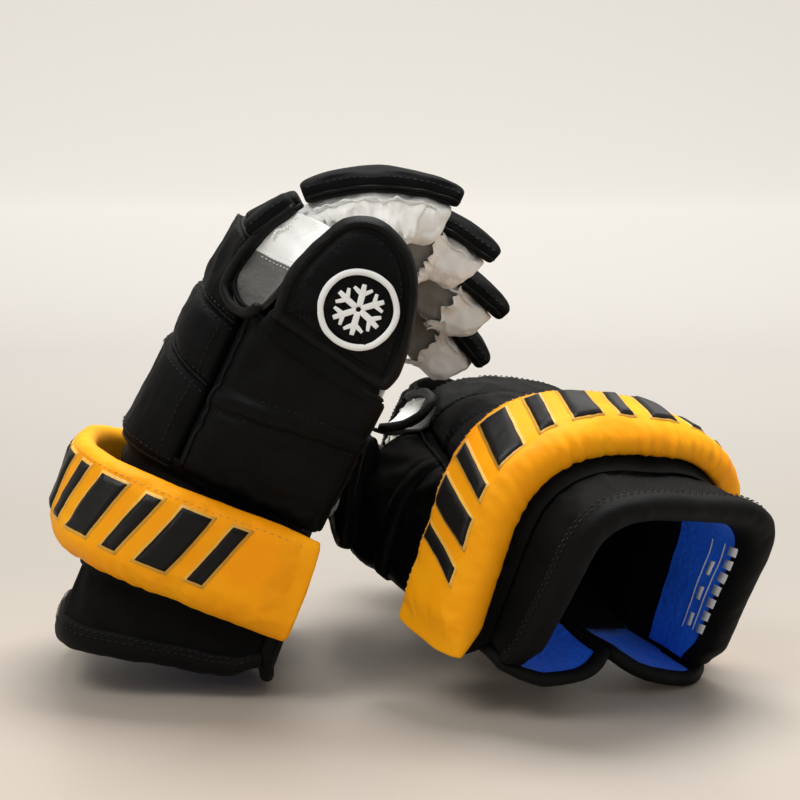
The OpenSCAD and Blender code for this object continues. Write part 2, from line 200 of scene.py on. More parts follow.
def arch(y, w, h, z, foot_x, foot_z, n=96, e=0.75):
    """A line over the glove from foot to foot."""
    t = np.linspace(0, math.pi, 61)
    p = [[foot_x, y, foot_z]]
    p += [[w * float(bent(math.cos(a), e)), y, z + h * float(bent(math.sin(a), e))] for a in t]
    p += [[-foot_x, y, foot_z]]
    return even(p, n)


def across(x, key):
    """A number of the fingers, read between them at x."""
    return np.interp(x, [f.place * STEP for f in FINGERS], [getattr(f, key) for f in FINGERS])


# Lines across the glove at y, moved in by d.
def back_line(y, d, n=64, front=False):
    t = (y - HAND_BACK) / (KNUCKLES - HAND_BACK)
    w, h, z = HAND_W - d, mix(49.5, 35, t) - d, mix(22, 28, t)
    last = 168 - 24 * float(smooth(38, 54, y))
    a = np.radians(np.linspace(0, last, 61))
    p = [[w - 1, y, mix(-20, 2, t)]]
    p += [[w * float(bent(math.cos(b))), y, z + h * float(bent(math.sin(b)))] for b in a]
    p = even(p, n)
    if front:
        x = p[:, 0]
        p[:, 1] = across(x, "y") - 3 + np.tan(np.radians(across(x, "pitch") / 2)) * (
            p[:, 2] - across(x, "z"))
    else:
        # the seams across the back bow towards the fingers
        bow = np.interp(y, [HAND_BACK, WRIST_END, KNUCKLE_START, KNUCKLES], [0, 13, 8, 0])
        p[:, 1] += bow * np.sin(np.linspace(0, math.pi, n)) ** 0.8
    return p


def side_line(y, d, n=40):
    t = (y - HAND_BACK) / (THUMB_Y - HAND_BACK)
    k = [[mix(-59, -61, t) + 0.5 * d, mix(35, 36, t) - 0.6 * d],
         [mix(-61, -80, t) + d, mix(24, 28, t) - 0.5 * d],
         [mix(-62, -95, t) + d, mix(4, 8, t)],
         [mix(-62, -97, t) + d, mix(-20, -18, t)],
         [mix(-61, -95, t) + d, mix(-41, -40, t)],
         [mix(-55, -88, t) + 0.5 * d, mix(-49, -47, t) + 0.7 * d]]
    p = rounded([[a, y, b] for a, b in k], 5)
    return even(p, n)


def rounded(points, times=3):
    """Corner cutting that keeps both ends."""
    p = np.asarray(points, float)
    for _ in range(times):
        q = np.empty((2 * len(p) - 2, 3))
        q[0::2] = 0.8 * p[:-1] + 0.2 * p[1:]
        q[1::2] = 0.2 * p[:-1] + 0.8 * p[1:]
        q[0], q[-1] = p[0], p[-1]
        p = q
    return p


def creased(p):
    p = p.copy()
    p[:, 1] += CREASE * (p[:, 2] - THUMB_Z)
    return p


def palm_line(y, d, n=40):
    t = (y - HAND_BACK) / (KNUCKLES - HAND_BACK)
    p = [[HAND_W - 4 - d, y, mix(-21, 1, t)], [HAND_W - 10 - d, y, mix(-31, -5, t) + d],
         [20, y, mix(-35, 2, t) + d], [-25, y, mix(-35, 6, t) + d], [-50, y, mix(-36, 4, t) + d]]
    return even(rounded(p, 3), n)


def ball_line(y, d, n=16):
    t = (y - HAND_BACK) / (THUMB_Y - HAND_BACK)
    p = [[mix(-42, -46, t), y, mix(-36, -3, t) + d], [mix(-48, -60, t), y, mix(-38, -24, t) + d],
         [mix(-49.5, -79, t), y, mix(-44, -45, t) + d]]
    return even(rounded(p, 3), n)


def cuff_y(y, z):
    return y - SLANT * z * (SHELL_FRONT - y) / (SHELL_FRONT - MOUTH_Y)


def cuff_line(y, d, n=96):
    t = (y - MOUTH_Y) / (SHELL_FRONT - MOUTH_Y)
    p = arch(y, mix(63, 57, t) - d, mix(53, 54, t) - d, mix(3, 9, t), mix(66, 59, t) - d,
             mix(-50, -42, t), n, mix(0.52, 0.75, t))
    p[:, 1] = cuff_y(y, p[:, 2])
    # the corners of the mouth are a little round
    s = np.arange(n) * np.linalg.norm(p[1] - p[0])
    s = np.minimum(s, s[::-1])
    p[:, 1] += 8 * (1 - smooth(0, 15, s)) * float(1 - smooth(0, 34, y - MOUTH_Y))
    return p


def roll_thick(y):
    return ROLL_T + 6 * (1 - (y - ROLL_Y) / ROLL_L)


def roll_line(y, d, n=120):
    t = (y - ROLL_Y) / ROLL_L
    p = arch(y, mix(65.5, 66, t) + d, mix(59, 68.5, t) + d, mix(6, 9.5, t), mix(69.5, 69, t) + d,
             mix(-55, -49, t), n)
    p[:, 1] -= 0.09 * (p[:, 2] - 5)
    return p


# ---------------------------------------------------------------- mesh pieces
class Shape:
    """Points, faces, the finish of each face and which points the cloth is held at."""

    def __init__(self):
        self.v, self.f, self.m, self.pin = [], [], [], []
        self.n = 0

    def add(self, points, faces, mat=0, pin=False):
        p = np.asarray(points, float).reshape(-1, 3)
        self.v.append(p)
        self.f += [tuple(self.n + i for i in f) for f in faces]
        self.m += list(mat) if hasattr(mat, "__len__") else [mat] * len(faces)
        self.pin += list(pin) if hasattr(pin, "__len__") else [pin] * len(p)
        self.n += len(p)

    def points(self):
        return np.vstack(self.v)


def mesh(points, faces, mat=0, pin=False):
    s = Shape()
    s.add(points, faces, mat, pin)
    return s


def flipped(faces):
    return [f[::-1] for f in faces]


def hoops(m, n):
    """Faces between m closed rings of n points."""
    return [(j * n + i, j * n + (i + 1) % n, (j + 1) * n + (i + 1) % n, (j + 1) * n + i)
            for j in range(m - 1) for i in range(n)]


def fan(start, n, middle):
    """Faces from a closed ring of n points to its middle."""
    return [(start + i, start + (i + 1) % n, middle) for i in range(n)]


def slab(outer, inner, mat=0, inner_mat=None):
    """Closed solid between two grids of the same size, [nu, nv, 3]. Its rim is like the inner face."""
    nu, nv = outer.shape[:2]
    k = nu * nv
    top = [(a, a + nv, a + nv + 1, a + 1) for i in range(nu - 1) for a in range(i * nv, i * nv + nv - 1)]
    under = flipped([tuple(k + v for v in f) for f in top])
    rim = ([i * nv for i in range(nu)] + [(nu - 1) * nv + j for j in range(1, nv)]
           + [i * nv + nv - 1 for i in range(nu - 2, -1, -1)] + list(range(nv - 2, 0, -1)))
    faces = top + under + [(b, a, k + a, k + b) for a, b in zip(rim, rim[1:] + rim[:1])]
    inner_mat = mat if inner_mat is None else inner_mat
    pins = np.ones(2 * k, bool)
    pins[:k].reshape(nu, nv)[1:-1, 1:-1] = False
    return mesh(np.vstack([outer.reshape(-1, 3), inner.reshape(-1, 3)]), faces,
                [mat] * len(top) + [inner_mat] * (len(faces) - len(top)), pins)


def loft(rings, mats=lambda i, j: 0):
    """Closed rings in a row, [m, n, 3], with both ends closed."""
    r = np.asarray(rings, float)
    m, n = r.shape[:2]
    faces = flipped(hoops(m, n))
    out = [mats(i, j) for j in range(m - 1) for i in range(n)]
    near, far = fan(0, n, m * n), fan((m - 1) * n, n, m * n + 1)
    for i in range(n):
        a, b, c = far[i]
        faces += [near[i], (b, a, c)]
        out += [mats(i, 0), mats(i, m - 2)]
    return mesh(np.vstack([r.reshape(-1, 3), r[0].mean(0), r[-1].mean(0)]), faces, out)


def frames_along(p):
    """Two directions across a line at each of its points, which turn as little as they can."""
    t = unit(np.gradient(p, axis=0))
    a = unit(np.cross(t[0], np.array([0.31, 0.2, 0.93])))
    out = []
    for k in range(len(p)):
        a = unit(a - t[k] * np.dot(a, t[k]))
        out.append((a, np.cross(t[k], a)))
    return out


def tube(shape, points, r, mat=0, n=8, flat=1.0):
    """A piping or cord along points, thinner at both ends."""
    p = np.asarray(points, float)
    c, m = turn(n), len(p)
    size = np.full(m, r, float) if np.isscalar(r) else np.array(r, float)
    size[[0, -1]] *= 0.45
    rows = [p[k] + size[k] * (np.outer(np.cos(c), a) + flat * np.outer(np.sin(c), b))
            for k, (a, b) in enumerate(frames_along(p))]
    ends = [tuple(range(n))[::-1], tuple(range((m - 1) * n, m * n))]
    shape.add(np.vstack(rows), hoops(m, n) + ends, mat, True)


def stitches(shape, points, normals, mat=0, length=2.3, gap=1.5, r=0.36, lift=0.1):
    """A row of short threads lying along a line on a surface."""
    d = lengths(points)
    at = 0.8
    while at + length < d[-1]:
        s = np.array([at, at + length / 2, at + length])
        up = unit(resample(normals, d, s)) * (lift + np.array([[-0.25], [0.12], [-0.25]]))
        tube(shape, resample(points, d, s) + up, r, mat, n=5)
        at += length + gap


class Surface:
    """A grid of points [nu, nv, 3] that can be read anywhere, u and v from 0 to 1."""

    def __init__(self, g, flip=False):
        self.g = np.asarray(g, float)
        du, dv = np.gradient(self.g, axis=0), np.gradient(self.g, axis=1)
        self.nrm = unit(np.cross(du, dv)) * (-1 if flip else 1)

    def read(self, a, u, v):
        nu, nv = a.shape[:2]
        x, y = np.clip(u, 0, 1) * (nu - 1), np.clip(v, 0, 1) * (nv - 1)
        i, j = np.minimum(x.astype(int), nu - 2), np.minimum(y.astype(int), nv - 2)
        fx, fy = (x - i)[..., None], (y - j)[..., None]
        return ((a[i, j] * (1 - fx) + a[i + 1, j] * fx) * (1 - fy)
                + (a[i, j + 1] * (1 - fx) + a[i + 1, j + 1] * fx) * fy)

    def at(self, u, v, lift=0.0):
        """Points and normals. u, v and lift are numbers or lines of numbers."""
        u, v, lift = np.broadcast_arrays(*(np.asarray(x, float) for x in (u, v, lift)))
        n = unit(self.read(self.nrm, u, v))
        return self.read(self.g, u, v) + n * lift[..., None], n


def facing(g, axis, sign):
    """The surface over a grid with its normals to one side of it."""
    s = Surface(g)
    return s if s.at(0.5, 0.5)[1][axis] * sign > 0 else Surface(g, flip=True)


def sleeve(outer, inner):
    """A sleeve from closed rings, with a face outside, one inside and two rims."""
    m, n = outer.shape[:2]
    fs = [(a, d, c, b) for a, b, c, d in hoops(m, n)]
    fs += [tuple(m * n + v for v in q[::-1]) for q in fs]
    for i in range(n):
        k = (i + 1) % n
        fs.append((i, k, m * n + k, m * n + i))
        fs.append(((m - 1) * n + k, (m - 1) * n + i, (2 * m - 1) * n + i, (2 * m - 1) * n + k))
    return mesh(np.vstack([outer.reshape(-1, 3), inner.reshape(-1, 3)]), fs)


def noise1(x, seed=0, octaves=3):
    """Smooth repeatable noise along a line."""
    x = np.asarray(x, float)
    out = np.zeros_like(x)
    r = np.random.default_rng(100 + seed)
    for o in range(octaves):
        ph, fr = r.uniform(0, 2 * math.pi, 3), r.uniform(0.7, 1.3, 3) * 2**o
        for a, b in zip(ph, fr):
            out += np.sin(x * b + a) / (3 * 1.6**o)
    return out


# ---------------------------------------------------------------- materials
def material(name, colour, rough, sheen, spec, build, tint=None):
    """A finish in one colour with soft darker patches, and the relief that build makes."""
    m = bpy.data.materials.new(name)
    m.use_nodes = True
    nt = m.node_tree
    b = nt.nodes["Principled BSDF"]
    b.inputs["Roughness"].default_value = rough
    b.inputs["Specular IOR Level"].default_value = spec
    b.inputs["Sheen Weight"].default_value = sheen
    b.inputs["Sheen Roughness"].default_value = 0.5
    b.inputs["Base Color"].default_value = (*colour, 1)
    tc = nt.nodes.new("ShaderNodeTexCoord")
    big = nt.nodes.new("ShaderNodeTexNoise")
    big.inputs["Scale"].default_value = 24
    big.inputs["Detail"].default_value = 5
    nt.links.new(tc.outputs["Object"], big.inputs["Vector"])
    ramp = nt.nodes.new("ShaderNodeValToRGB")
    dark = tint or tuple(c * 0.72 for c in colour)
    light = tuple(min(1, c * 1.12 + 0.002) for c in colour)
    ramp.color_ramp.elements[0].position, ramp.color_ramp.elements[1].position = 0.3, 0.72
    ramp.color_ramp.elements[0].color = (*dark, 1)
    ramp.color_ramp.elements[1].color = (*light, 1)
    nt.links.new(big.outputs["Fac"], ramp.inputs["Fac"])
    nt.links.new(ramp.outputs["Color"], b.inputs["Base Color"])
    build(nt, tc, b)
    return m


def bump(nt, b, height, strength, distance, over=None):
    n = nt.nodes.new("ShaderNodeBump")
    n.inputs["Strength"].default_value = strength
    n.inputs["Distance"].default_value = distance
    nt.links.new(height, n.inputs["Height"])
    if over is not None:
        nt.links.new(over.outputs["Normal"], n.inputs["Normal"])
    nt.links.new(n.outputs["Normal"], b.inputs["Normal"])
    return n


def tex(nt, tc, kind, scale, **k):
    n = nt.nodes.new(kind)
    n.inputs["Scale"].default_value = scale
    for a, v in k.items():
        if a in n.inputs:
            n.inputs[a].default_value = v
        else:
            setattr(n, a, v)
    nt.links.new(tc.outputs["Object"], n.inputs["Vector"])
    return n


def mul(nt, a, b):
    n = nt.nodes.new("ShaderNodeMath")
    n.operation = "MULTIPLY"
    nt.links.new(a, n.inputs[0])
    nt.links.new(b, n.inputs[1])
    return n.outputs[0]


def weave(scale, strength, dist, crumple=0.35):
    """Plain weave: two crossed sets of threads, over soft creases."""

    def build(nt, tc, b):
        big = tex(nt, tc, "ShaderNodeTexNoise", 42, Detail=4)
        first = bump(nt, b, big.outputs["Fac"], crumple, 0.002)
        u = tex(nt, tc, "ShaderNodeTexWave", scale, Distortion=0.6, bands_direction="DIAGONAL")
        v = tex(nt, tc, "ShaderNodeTexWave", scale * 1.07, Distortion=0.6, bands_direction="Z")
        h = mul(nt, u.outputs["Fac"], v.outputs["Fac"])
        bump(nt, b, h, strength, dist, first)

    return build


def suede(nt, tc, b):
    wr = tex(nt, tc, "ShaderNodeTexNoise", 60, Detail=6, Roughness=0.55, Distortion=0.7)
    first = bump(nt, b, wr.outputs["Fac"], 0.55, 0.003)
    nap = tex(nt, tc, "ShaderNodeTexNoise", 900, Detail=4)
    bump(nt, b, nap.outputs["Fac"], 0.35, 0.0004, first)


def grain(nt, tc, b):
    big = tex(nt, tc, "ShaderNodeTexNoise", 30, Detail=3)
    first = bump(nt, b, big.outputs["Fac"], 0.2, 0.002)
    cells = tex(nt, tc, "ShaderNodeTexVoronoi", 1100)
    bump(nt, b, cells.outputs["Distance"], 0.25, 0.0003, first)


def knit(scale):
    def build(nt, tc, b):
        cells = tex(nt, tc, "ShaderNodeTexVoronoi", scale)
        first = bump(nt, b, cells.outputs["Distance"], 0.55, 0.0012)
        fuzz = tex(nt, tc, "ShaderNodeTexNoise", 1500, Detail=2)
        bump(nt, b, fuzz.outputs["Fac"], 0.3, 0.0003, first)

    return build


def satin(nt, tc, b):
    w = tex(nt, tc, "ShaderNodeTexWave", 700, Distortion=1.5, bands_direction="DIAGONAL")
    first = bump(nt, b, w.outputs["Fac"], 0.5, 0.0005)
    n = tex(nt, tc, "ShaderNodeTexNoise", 160, Detail=3)
    bump(nt, b, n.outputs["Fac"], 0.3, 0.0012, first)


def ribs(nt, tc, b):
    w = tex(nt, tc, "ShaderNodeTexWave", 520, Distortion=0.4, bands_direction="Y")
    v = tex(nt, tc, "ShaderNodeTexNoise", 90, Detail=4)
    first = bump(nt, b, v.outputs["Fac"], 0.4, 0.0015)
    bump(nt, b, w.outputs["Fac"], 0.3, 0.0004, first)


# key, slot, name, colour, roughness, sheen, specular, relief, colour of its darker patches
FINISHES = [
    ("nylon", "black_nylon", "black_nylon", (0.0026, 0.0027, 0.0028), 0.62, 0.004, 0.07,
     weave(620, 0.4, 0.0004)),
    ("face", "black_nylon", "black_grained", (0.0022, 0.0023, 0.0024), 0.5, 0.003, 0.08, grain),
    ("cuff", "cuff_fabric", "cuff_nylon", (0.0028, 0.0028, 0.0028), 0.7, 0.004, 0.07,
     weave(480, 0.5, 0.0005, 0.5)),
    ("piping", "binding", "piping", (0.003, 0.003, 0.003), 0.5, 0.005, 0.12, ribs),
    ("binding", "binding", "binding_tape", (0.003, 0.003, 0.003), 0.6, 0.005, 0.09, ribs),
    ("gold", "gold_nylon", "gold_nylon", (1.0, 0.385, 0.003), 0.55, 0.0, 0.12,
     weave(560, 0.3, 0.0004, 0.3), (0.95, 0.325, 0.002)),
    ("goldline", "gold_nylon", "gold_thread", (0.98, 0.50, 0.05), 0.45, 0.1, 0.5, satin),
    ("bars", "black_embroidery", "black_satin_stitch", (0.004, 0.004, 0.004), 0.45, 0.005, 0.2, satin),
    ("white", "white_leather", "white_suede", (0.93, 0.95, 0.92), 0.92, 0.15, 0.25, suede,
     (0.84, 0.86, 0.83)),
    ("grey", "palm_leather", "grey_overlay", (0.26, 0.25, 0.225), 0.9, 0.1, 0.2, suede,
     (0.17, 0.165, 0.15)),
    ("mesh", "palm_leather", "grey_mesh", (0.16, 0.16, 0.15), 0.8, 0.05, 0.3, knit(380),
     (0.07, 0.07, 0.065)),
    ("blue", "blue_lining", "blue_knit", (0.010, 0.16, 0.92), 0.85, 0.1, 0.2, knit(300),
     (0.007, 0.12, 0.76)),
    # near-black lining that paints the shade deep inside the glove
    ("dark", "blue_lining", "dark_lining", (0.004, 0.004, 0.006), 0.95, 0.0, 0.05, knit(300)),
    ("print", "white_leather", "white_print", (0.85, 0.86, 0.85), 0.6, 0.0, 0.4, grain,
     (0.76, 0.77, 0.76)),
    ("thread", "black_embroidery", "black_thread", (0.006, 0.006, 0.006), 0.5, 0.02, 0.3, satin),
    ("fray", "white_leather", "frayed_edge", (0.92, 0.92, 0.87), 0.95, 0.3, 0.2, suede,
     (0.78, 0.78, 0.73)),
    ("plastic", "splint_plastic", "grey_plate", (0.2, 0.2, 0.2), 0.45, 0.0, 0.5, grain),
]
MAT, SLOTS = {}, {}
for key, slot, *finish in FINISHES:
    MAT[key], SLOTS[key] = material(*finish), slot

# ---------------------------------------------------------------- making the objects
def waves(length, seed, count=12):
    """Crossed waves of about one length, three sets, for the three directions of a shift."""
    r = np.random.default_rng(seed)
    d = r.normal(size=(3 * count, 3))
    d *= (r.uniform(0.7, 1.4, 3 * count) * 2 * math.pi / length / np.linalg.norm(d, axis=1))[:, None]
    return d.T, r.uniform(0, 2 * math.pi, 3 * count)


FOLDS = [waves(31, 11), waves(12, 12), waves(6, 13)]
CLOTH_FOLDS, LEATHER_FOLDS = (0.20, 0.09, 0.03), (0.45, 0.60, 0.20)


def soft_folds(p, depths):
    """Shifts everything a little, alike for a pad and its seams, so no face stays even."""
    shift = np.zeros_like(p)
    for (d, phase), depth in zip(FOLDS, depths):
        w = np.sin(p @ d + phase).reshape(len(p), 3, -1).sum(2)
        shift += depth * w / math.sqrt(d.shape[1] / 3)
    return p + shift


def spawn(name, shape, mats, body, hand=True, nodes=(), blend=None, levels=0,
          sides=SIDES):
    """One piece on each glove. Given blend, (other body, start, end) in the glove's own frame, the piece
    stays where it is made and is fixed to no body; what blend holds is not used.
    """
    for side in sides:
        me = bpy.data.meshes.new(side + "_" + name)
        w = to_world(shape.points(), side, hand)
        # the left glove is a mirror image, so its faces turn over
        me.from_pydata([tuple(p) for p in w], [], flipped(shape.f) if side == "left" else shape.f)
        for k in mats:
            me.materials.append(MAT[k])
        me.polygons.foreach_set("material_index", np.array(shape.m, np.int32))
        me.polygons.foreach_set("use_smooth", np.ones(len(shape.f), bool))
        me.validate()
        me.update()
        o = bpy.data.objects.new(side + "_" + name, me)
        scene.collection.objects.link(o)
        if levels:
            sub = o.modifiers.new("smooth", "SUBSURF")
            sub.levels = sub.render_levels = levels
            apply_modifiers(o)
        co = np.zeros(len(o.data.vertices) * 3)
        o.data.vertices.foreach_get("co", co)
        depths = LEATHER_FOLDS if name.endswith("_stall") else CLOTH_FOLDS
        co = soft_folds(co.reshape(-1, 3) * MM, depths).ravel() / MM
        # what rests on the ground is flattened by it
        co[2::3] = np.maximum(co[2::3], ON_GROUND)
        o.data.vertices.foreach_set("co", co)
        o.data.update()
        if blend:
            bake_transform(o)
        else:
            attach(o, side + "_" + body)
        if nodes:
            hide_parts(*[side + "_" + k for k in nodes])


def apply_modifiers(o):
    dg = bpy.context.evaluated_depsgraph_get()
    me = bpy.data.meshes.new_from_object(o.evaluated_get(dg))
    old = o.data
    o.modifiers.clear()
    o.data = me
    me.name = old.name
    bpy.data.meshes.remove(old)


# Cloth: every padded piece is filled with air at once, held at its seams, and read back.
cloths = []
SIM_FRAMES, STIFF = 20, 8.0


def inflate(shape, pressure, cap, swell):
    """Sets a shape down for the simulation. cap is how far it may move a point."""
    cloths.append((shape, pressure, cap, swell))
    return shape


def run_cloths():
    # the pieces are simulated a metre from each other
    apart = [np.array([k, 5.0, 0]) for k in range(len(cloths))]
    objs = []
    for (shape, pressure, cap, swell), at in zip(cloths, apart):
        me = bpy.data.meshes.new("sim")
        me.from_pydata([tuple(p) for p in shape.points() / MM + at], [], shape.f)
        me.update()
        o = bpy.data.objects.new("sim", me)
        scene.collection.objects.link(o)
        g = o.vertex_groups.new(name="pin")
        g.add([int(i) for i in np.nonzero(np.array(shape.pin))[0]], 1.0, "REPLACE")
        m = o.modifiers.new("cloth", "CLOTH")
        s = m.settings
        s.quality = 6
        s.mass = 0.25
        s.tension_stiffness = s.compression_stiffness = STIFF
        s.shear_stiffness = STIFF * 0.5
        s.bending_stiffness = 0.25
        s.tension_damping = s.compression_damping = 12
        s.air_damping = 4
        s.use_pressure = True
        s.uniform_pressure_force = pressure
        s.vertex_group_mass = "pin"
        s.shrink_min = -swell
        s.effector_weights.gravity = 0
        m.collision_settings.use_collision = False
        m.point_cache.frame_start, m.point_cache.frame_end = 1, SIM_FRAMES
        objs.append(o)
    for f in range(1, SIM_FRAMES + 1):
        scene.frame_set(f)
    dg = bpy.context.evaluated_depsgraph_get()
    for o, (shape, pressure, cap, swell), at in zip(objs, cloths, apart):
        p = shape.points()
        co = np.zeros(len(p) * 3)
        o.evaluated_get(dg).data.vertices.foreach_get("co", co)
        d = (co.reshape(-1, 3) - at) * MM - p
        n = np.linalg.norm(d, axis=1, keepdims=True)
        if np.isfinite(n).all():
            shape.v = [p + d * np.minimum(1, cap / np.maximum(n, 1e-6))]
    for o in objs:
        me = o.data
        bpy.data.objects.remove(o)
        bpy.data.meshes.remove(me)
    scene.frame_set(1)


# ---- pads of the back of the hand -------------------------------------------------


def edge_drop(s, radius, depth):
    """How far a padded face sits below its crown at a distance s from its seam."""
    t = np.clip(s / radius, 0, 1)
    return depth * (1 - np.sqrt(np.clip(1 - (1 - t) ** 2, 0, 1)))


def back_pad(y0, y1, front=False, nu=58, nv=15, crown=1.2):
    vs = np.linspace(0, 1, nv)
    vs = 0.5 - 0.5 * np.cos(math.pi * vs) * (0.6 + 0.4 * np.abs(np.cos(math.pi * vs)))
    outer, inner = np.zeros((nu, nv, 3)), np.zeros((nu, nv, 3))
    for j, v in enumerate(vs):
        y = mix(y0, y1, v)
        for tgt, off in ((outer, 0), (inner, BACK_T - 1)):
            if front:
                b = back_line(KNUCKLES, off, nu, front=True)
                a = back_line(y0, off, nu)
                tgt[:, j] = a + (b - a) * v
            else:
                tgt[:, j] = back_line(y, off, nu)
    length = lengths(outer[nu // 2])[-1]
    width = lengths(outer[:, nv // 2])[-1]
    for i, x in enumerate(np.linspace(0, width, nu)):
        for j, v in enumerate(vs):
            e = min(v, 1 - v) * length
            u_e = min(x + 4, width - x)
            # the edge on the thumb's side, last in the row, drops less
            side = (5, 2.0) if width - x < x else (7, 4.0)
            d = edge_drop(e, 5, 3.6) + edge_drop(u_e, *side) + 0.3
            d -= crown * math.sin(math.pi * v) * min(1, u_e / 20)
            outer[i, j] = mix(outer[i, j], inner[i, j], min(d / (BACK_T - 1), 0.8))
    return inflate(slab(outer, inner), 4.0, 1.6, 0.02), (nu, nv)


PADS = {"wrist_pad": back_pad(HAND_BACK, WRIST_END - 0.3),
        "backhand_pad": back_pad(WRIST_END + 0.3, KNUCKLE_START - 0.3),
        "knuckle_pad": back_pad(KNUCKLE_START + 0.3, KNUCKLES, front=True)}

# ---- side panel --------------------------------------------------------------------


def side_pad(nu=40, nv=44):
    ys = np.linspace(HAND_BACK, THUMB_Y - 1.5, nv)
    outer, inner = np.zeros((nu, nv, 3)), np.zeros((nu, nv, 3))
    for j, y in enumerate(ys):
        k = smooth(5, 40, y)
        for tgt, off in ((outer, 0), (inner, 9)):
            row = side_line(y, off, nu)
            tgt[:, j] = mix(row, creased(row), k)
    for i in range(nu):
        u = i / (nu - 1)
        for j, y in enumerate(ys):
            e = min(j, nv - 1 - j) * 2.05
            ue = min(i, nu - 1 - i) * 2.9
            d = edge_drop(e, 5, 3.4) + edge_drop(ue, 8, 4.0) + 0.3
            w = y - 13 * u
            d -= 1.9 * float(smooth(-5.5, -3.2, w) - smooth(3.2, 5.5, w))
            d += 0.9 * math.exp(-((w + 6.6) / 1.8) ** 2) + 0.9 * math.exp(-((w - 6.6) / 1.8) ** 2)
            d -= 1.2 * math.exp(-((w + 24) / 14) ** 2) + 0.8 * math.exp(-((w - 22) / 10) ** 2)
            outer[i, j] = mix(outer[i, j], inner[i, j], min(max(d, -3) / 9, 0.75))
    return inflate(slab(outer, inner), 3.0, 1.6, 0.02), (nu, nv)


SIDE_PAD = side_pad()

# ---- thumb pad ---------------------------------------------------------------------
TH = np.array([[1, 0.86, 40], [6, 0.95, 40.5], [12, 1, 40.3], [22, 1, 39.5], [32, 1, 37.4], [42, 1, 35],
               [52, 1, 32], [60, 0.98, 28.2], [66, 0.95, 24], [71, 0.88, 19.5], [75, 0.76, 13.5],
               [77.6, 0.6, 8.2], [79, 0.4, 3.2]])


THUMB_N = 96


def thumb_outline():
    """Outline of the thumb pad seen from its side, as [y, z], starting at its crease."""
    s = np.concatenate([TH[:, 0], TH[::-1, 0]])
    h = np.concatenate([TH[:, 2], -TH[::-1, 2]])
    h = np.where(h > 0, h - (8.5 - 4 * smooth(4, 34, s)) * (1 - smooth(58, 76, s)),
                 h + 4 * (1 - smooth(0, 14, s)))
    z = THUMB_Z + THUMB_RISE * s + h
    cr = CREASE * np.maximum(0, 1 - s / 50)
    y = THUMB_Y + s * THUMB_S + cr * h
    p = np.stack([y, z, 0 * z], 1)
    p = rounded(np.vstack([p, p[:1]]), 2)[:-1]
    return even(p, THUMB_N, closed=True)[:, :2]


OUT = thumb_outline()
MIDDLE = np.array([THUMB_Y + 36, THUMB_Z])


def inset(outline, d):
    """The outline moved in by d and smoothed."""
    t = unit(np.roll(outline, -1, 0) - np.roll(outline, 1, 0))
    normal = np.stack([-t[:, 1], t[:, 0]], 1)
    if ((MIDDLE - outline) * normal).sum() < 0:
        normal = -normal
    q = outline + normal * d
    for _ in range(int(d // 2)):
        q = 0.5 * q + 0.25 * (np.roll(q, 1, 0) + np.roll(q, -1, 0))
    return q


def thumb_face():
    """Rings from the back of the pad over its piped edge to the middle of its face."""
    x0, half = THUMB_X, 7.0
    prof = [(1.5, half - 1.0), (0.3, half - 4), (-0.3, 0), (0.1, -2.5), (0.8, -4.6), (2.0, -6.0), (3.2, -6.7),
            (4.6, -6.5), (5.6, -5.4), (6.3, -4.9), (7.2, -5.5), (9.0, -6.8), (12, -7.8), (17, -8.5),
            (23, -8.9)]
    rings = []
    for d, x in prof:
        q = inset(OUT, d)
        rings.append(np.stack([np.full(len(q), x0 + x), q[:, 0], q[:, 1]], 1))
    last = rings[-1]
    c = last.mean(0)
    for k in (0.66, 0.33):
        r = c + (last - c) * k
        r[:, 0] = last[:, 0] - 0.5 * (1 - k)
        rings.append(r)
    return rings


rings = thumb_face()
n, m = THUMB_N, len(rings)
faces = hoops(m, n) + fan((m - 1) * n, n, m * n) + [(b, a, c) for a, b, c in fan(0, n, m * n + 1)]
# the face is blown up, its piped edge (rings 2 to 8) and its back are held
pin = [k < 11 * n or k > m * n for k in range(m * n + 2)]
mats = [1 if 2 <= k // n <= 8 and k < (m - 1) * n else 0 for k in range(len(faces))]
THUMB = inflate(mesh(np.vstack(rings + [rings[-1].mean(0), rings[0].mean(0)]), faces, mats, pin),
                3.0, 1.6, 0.01)

# ---- finger pads -------------------------------------------------------------------
FPAD = {}


def finger_pad(stations):
    """From places on a finger, with how wide and thick the pad is there and how its ring leans."""
    m, n = len(stations), 36
    pad = loft([ring(c, (FINGER_W / 2 - 0.2) * (k * 0.985), PAD_T / 2 * (kh * 0.95), PAD_MID, lean, n, 0.6)
                for c, k, kh, lean in stations])
    # the seam that joins a pad to its stall is held, and so are its two ends
    low = np.tile(np.sin(turn(n)) < -0.35, m)
    low[:n] = low[-n:] = True
    pad.pin = list(low) + [True, True]
    return inflate(pad, 5.0, 1.5, 0.03), (m, n)


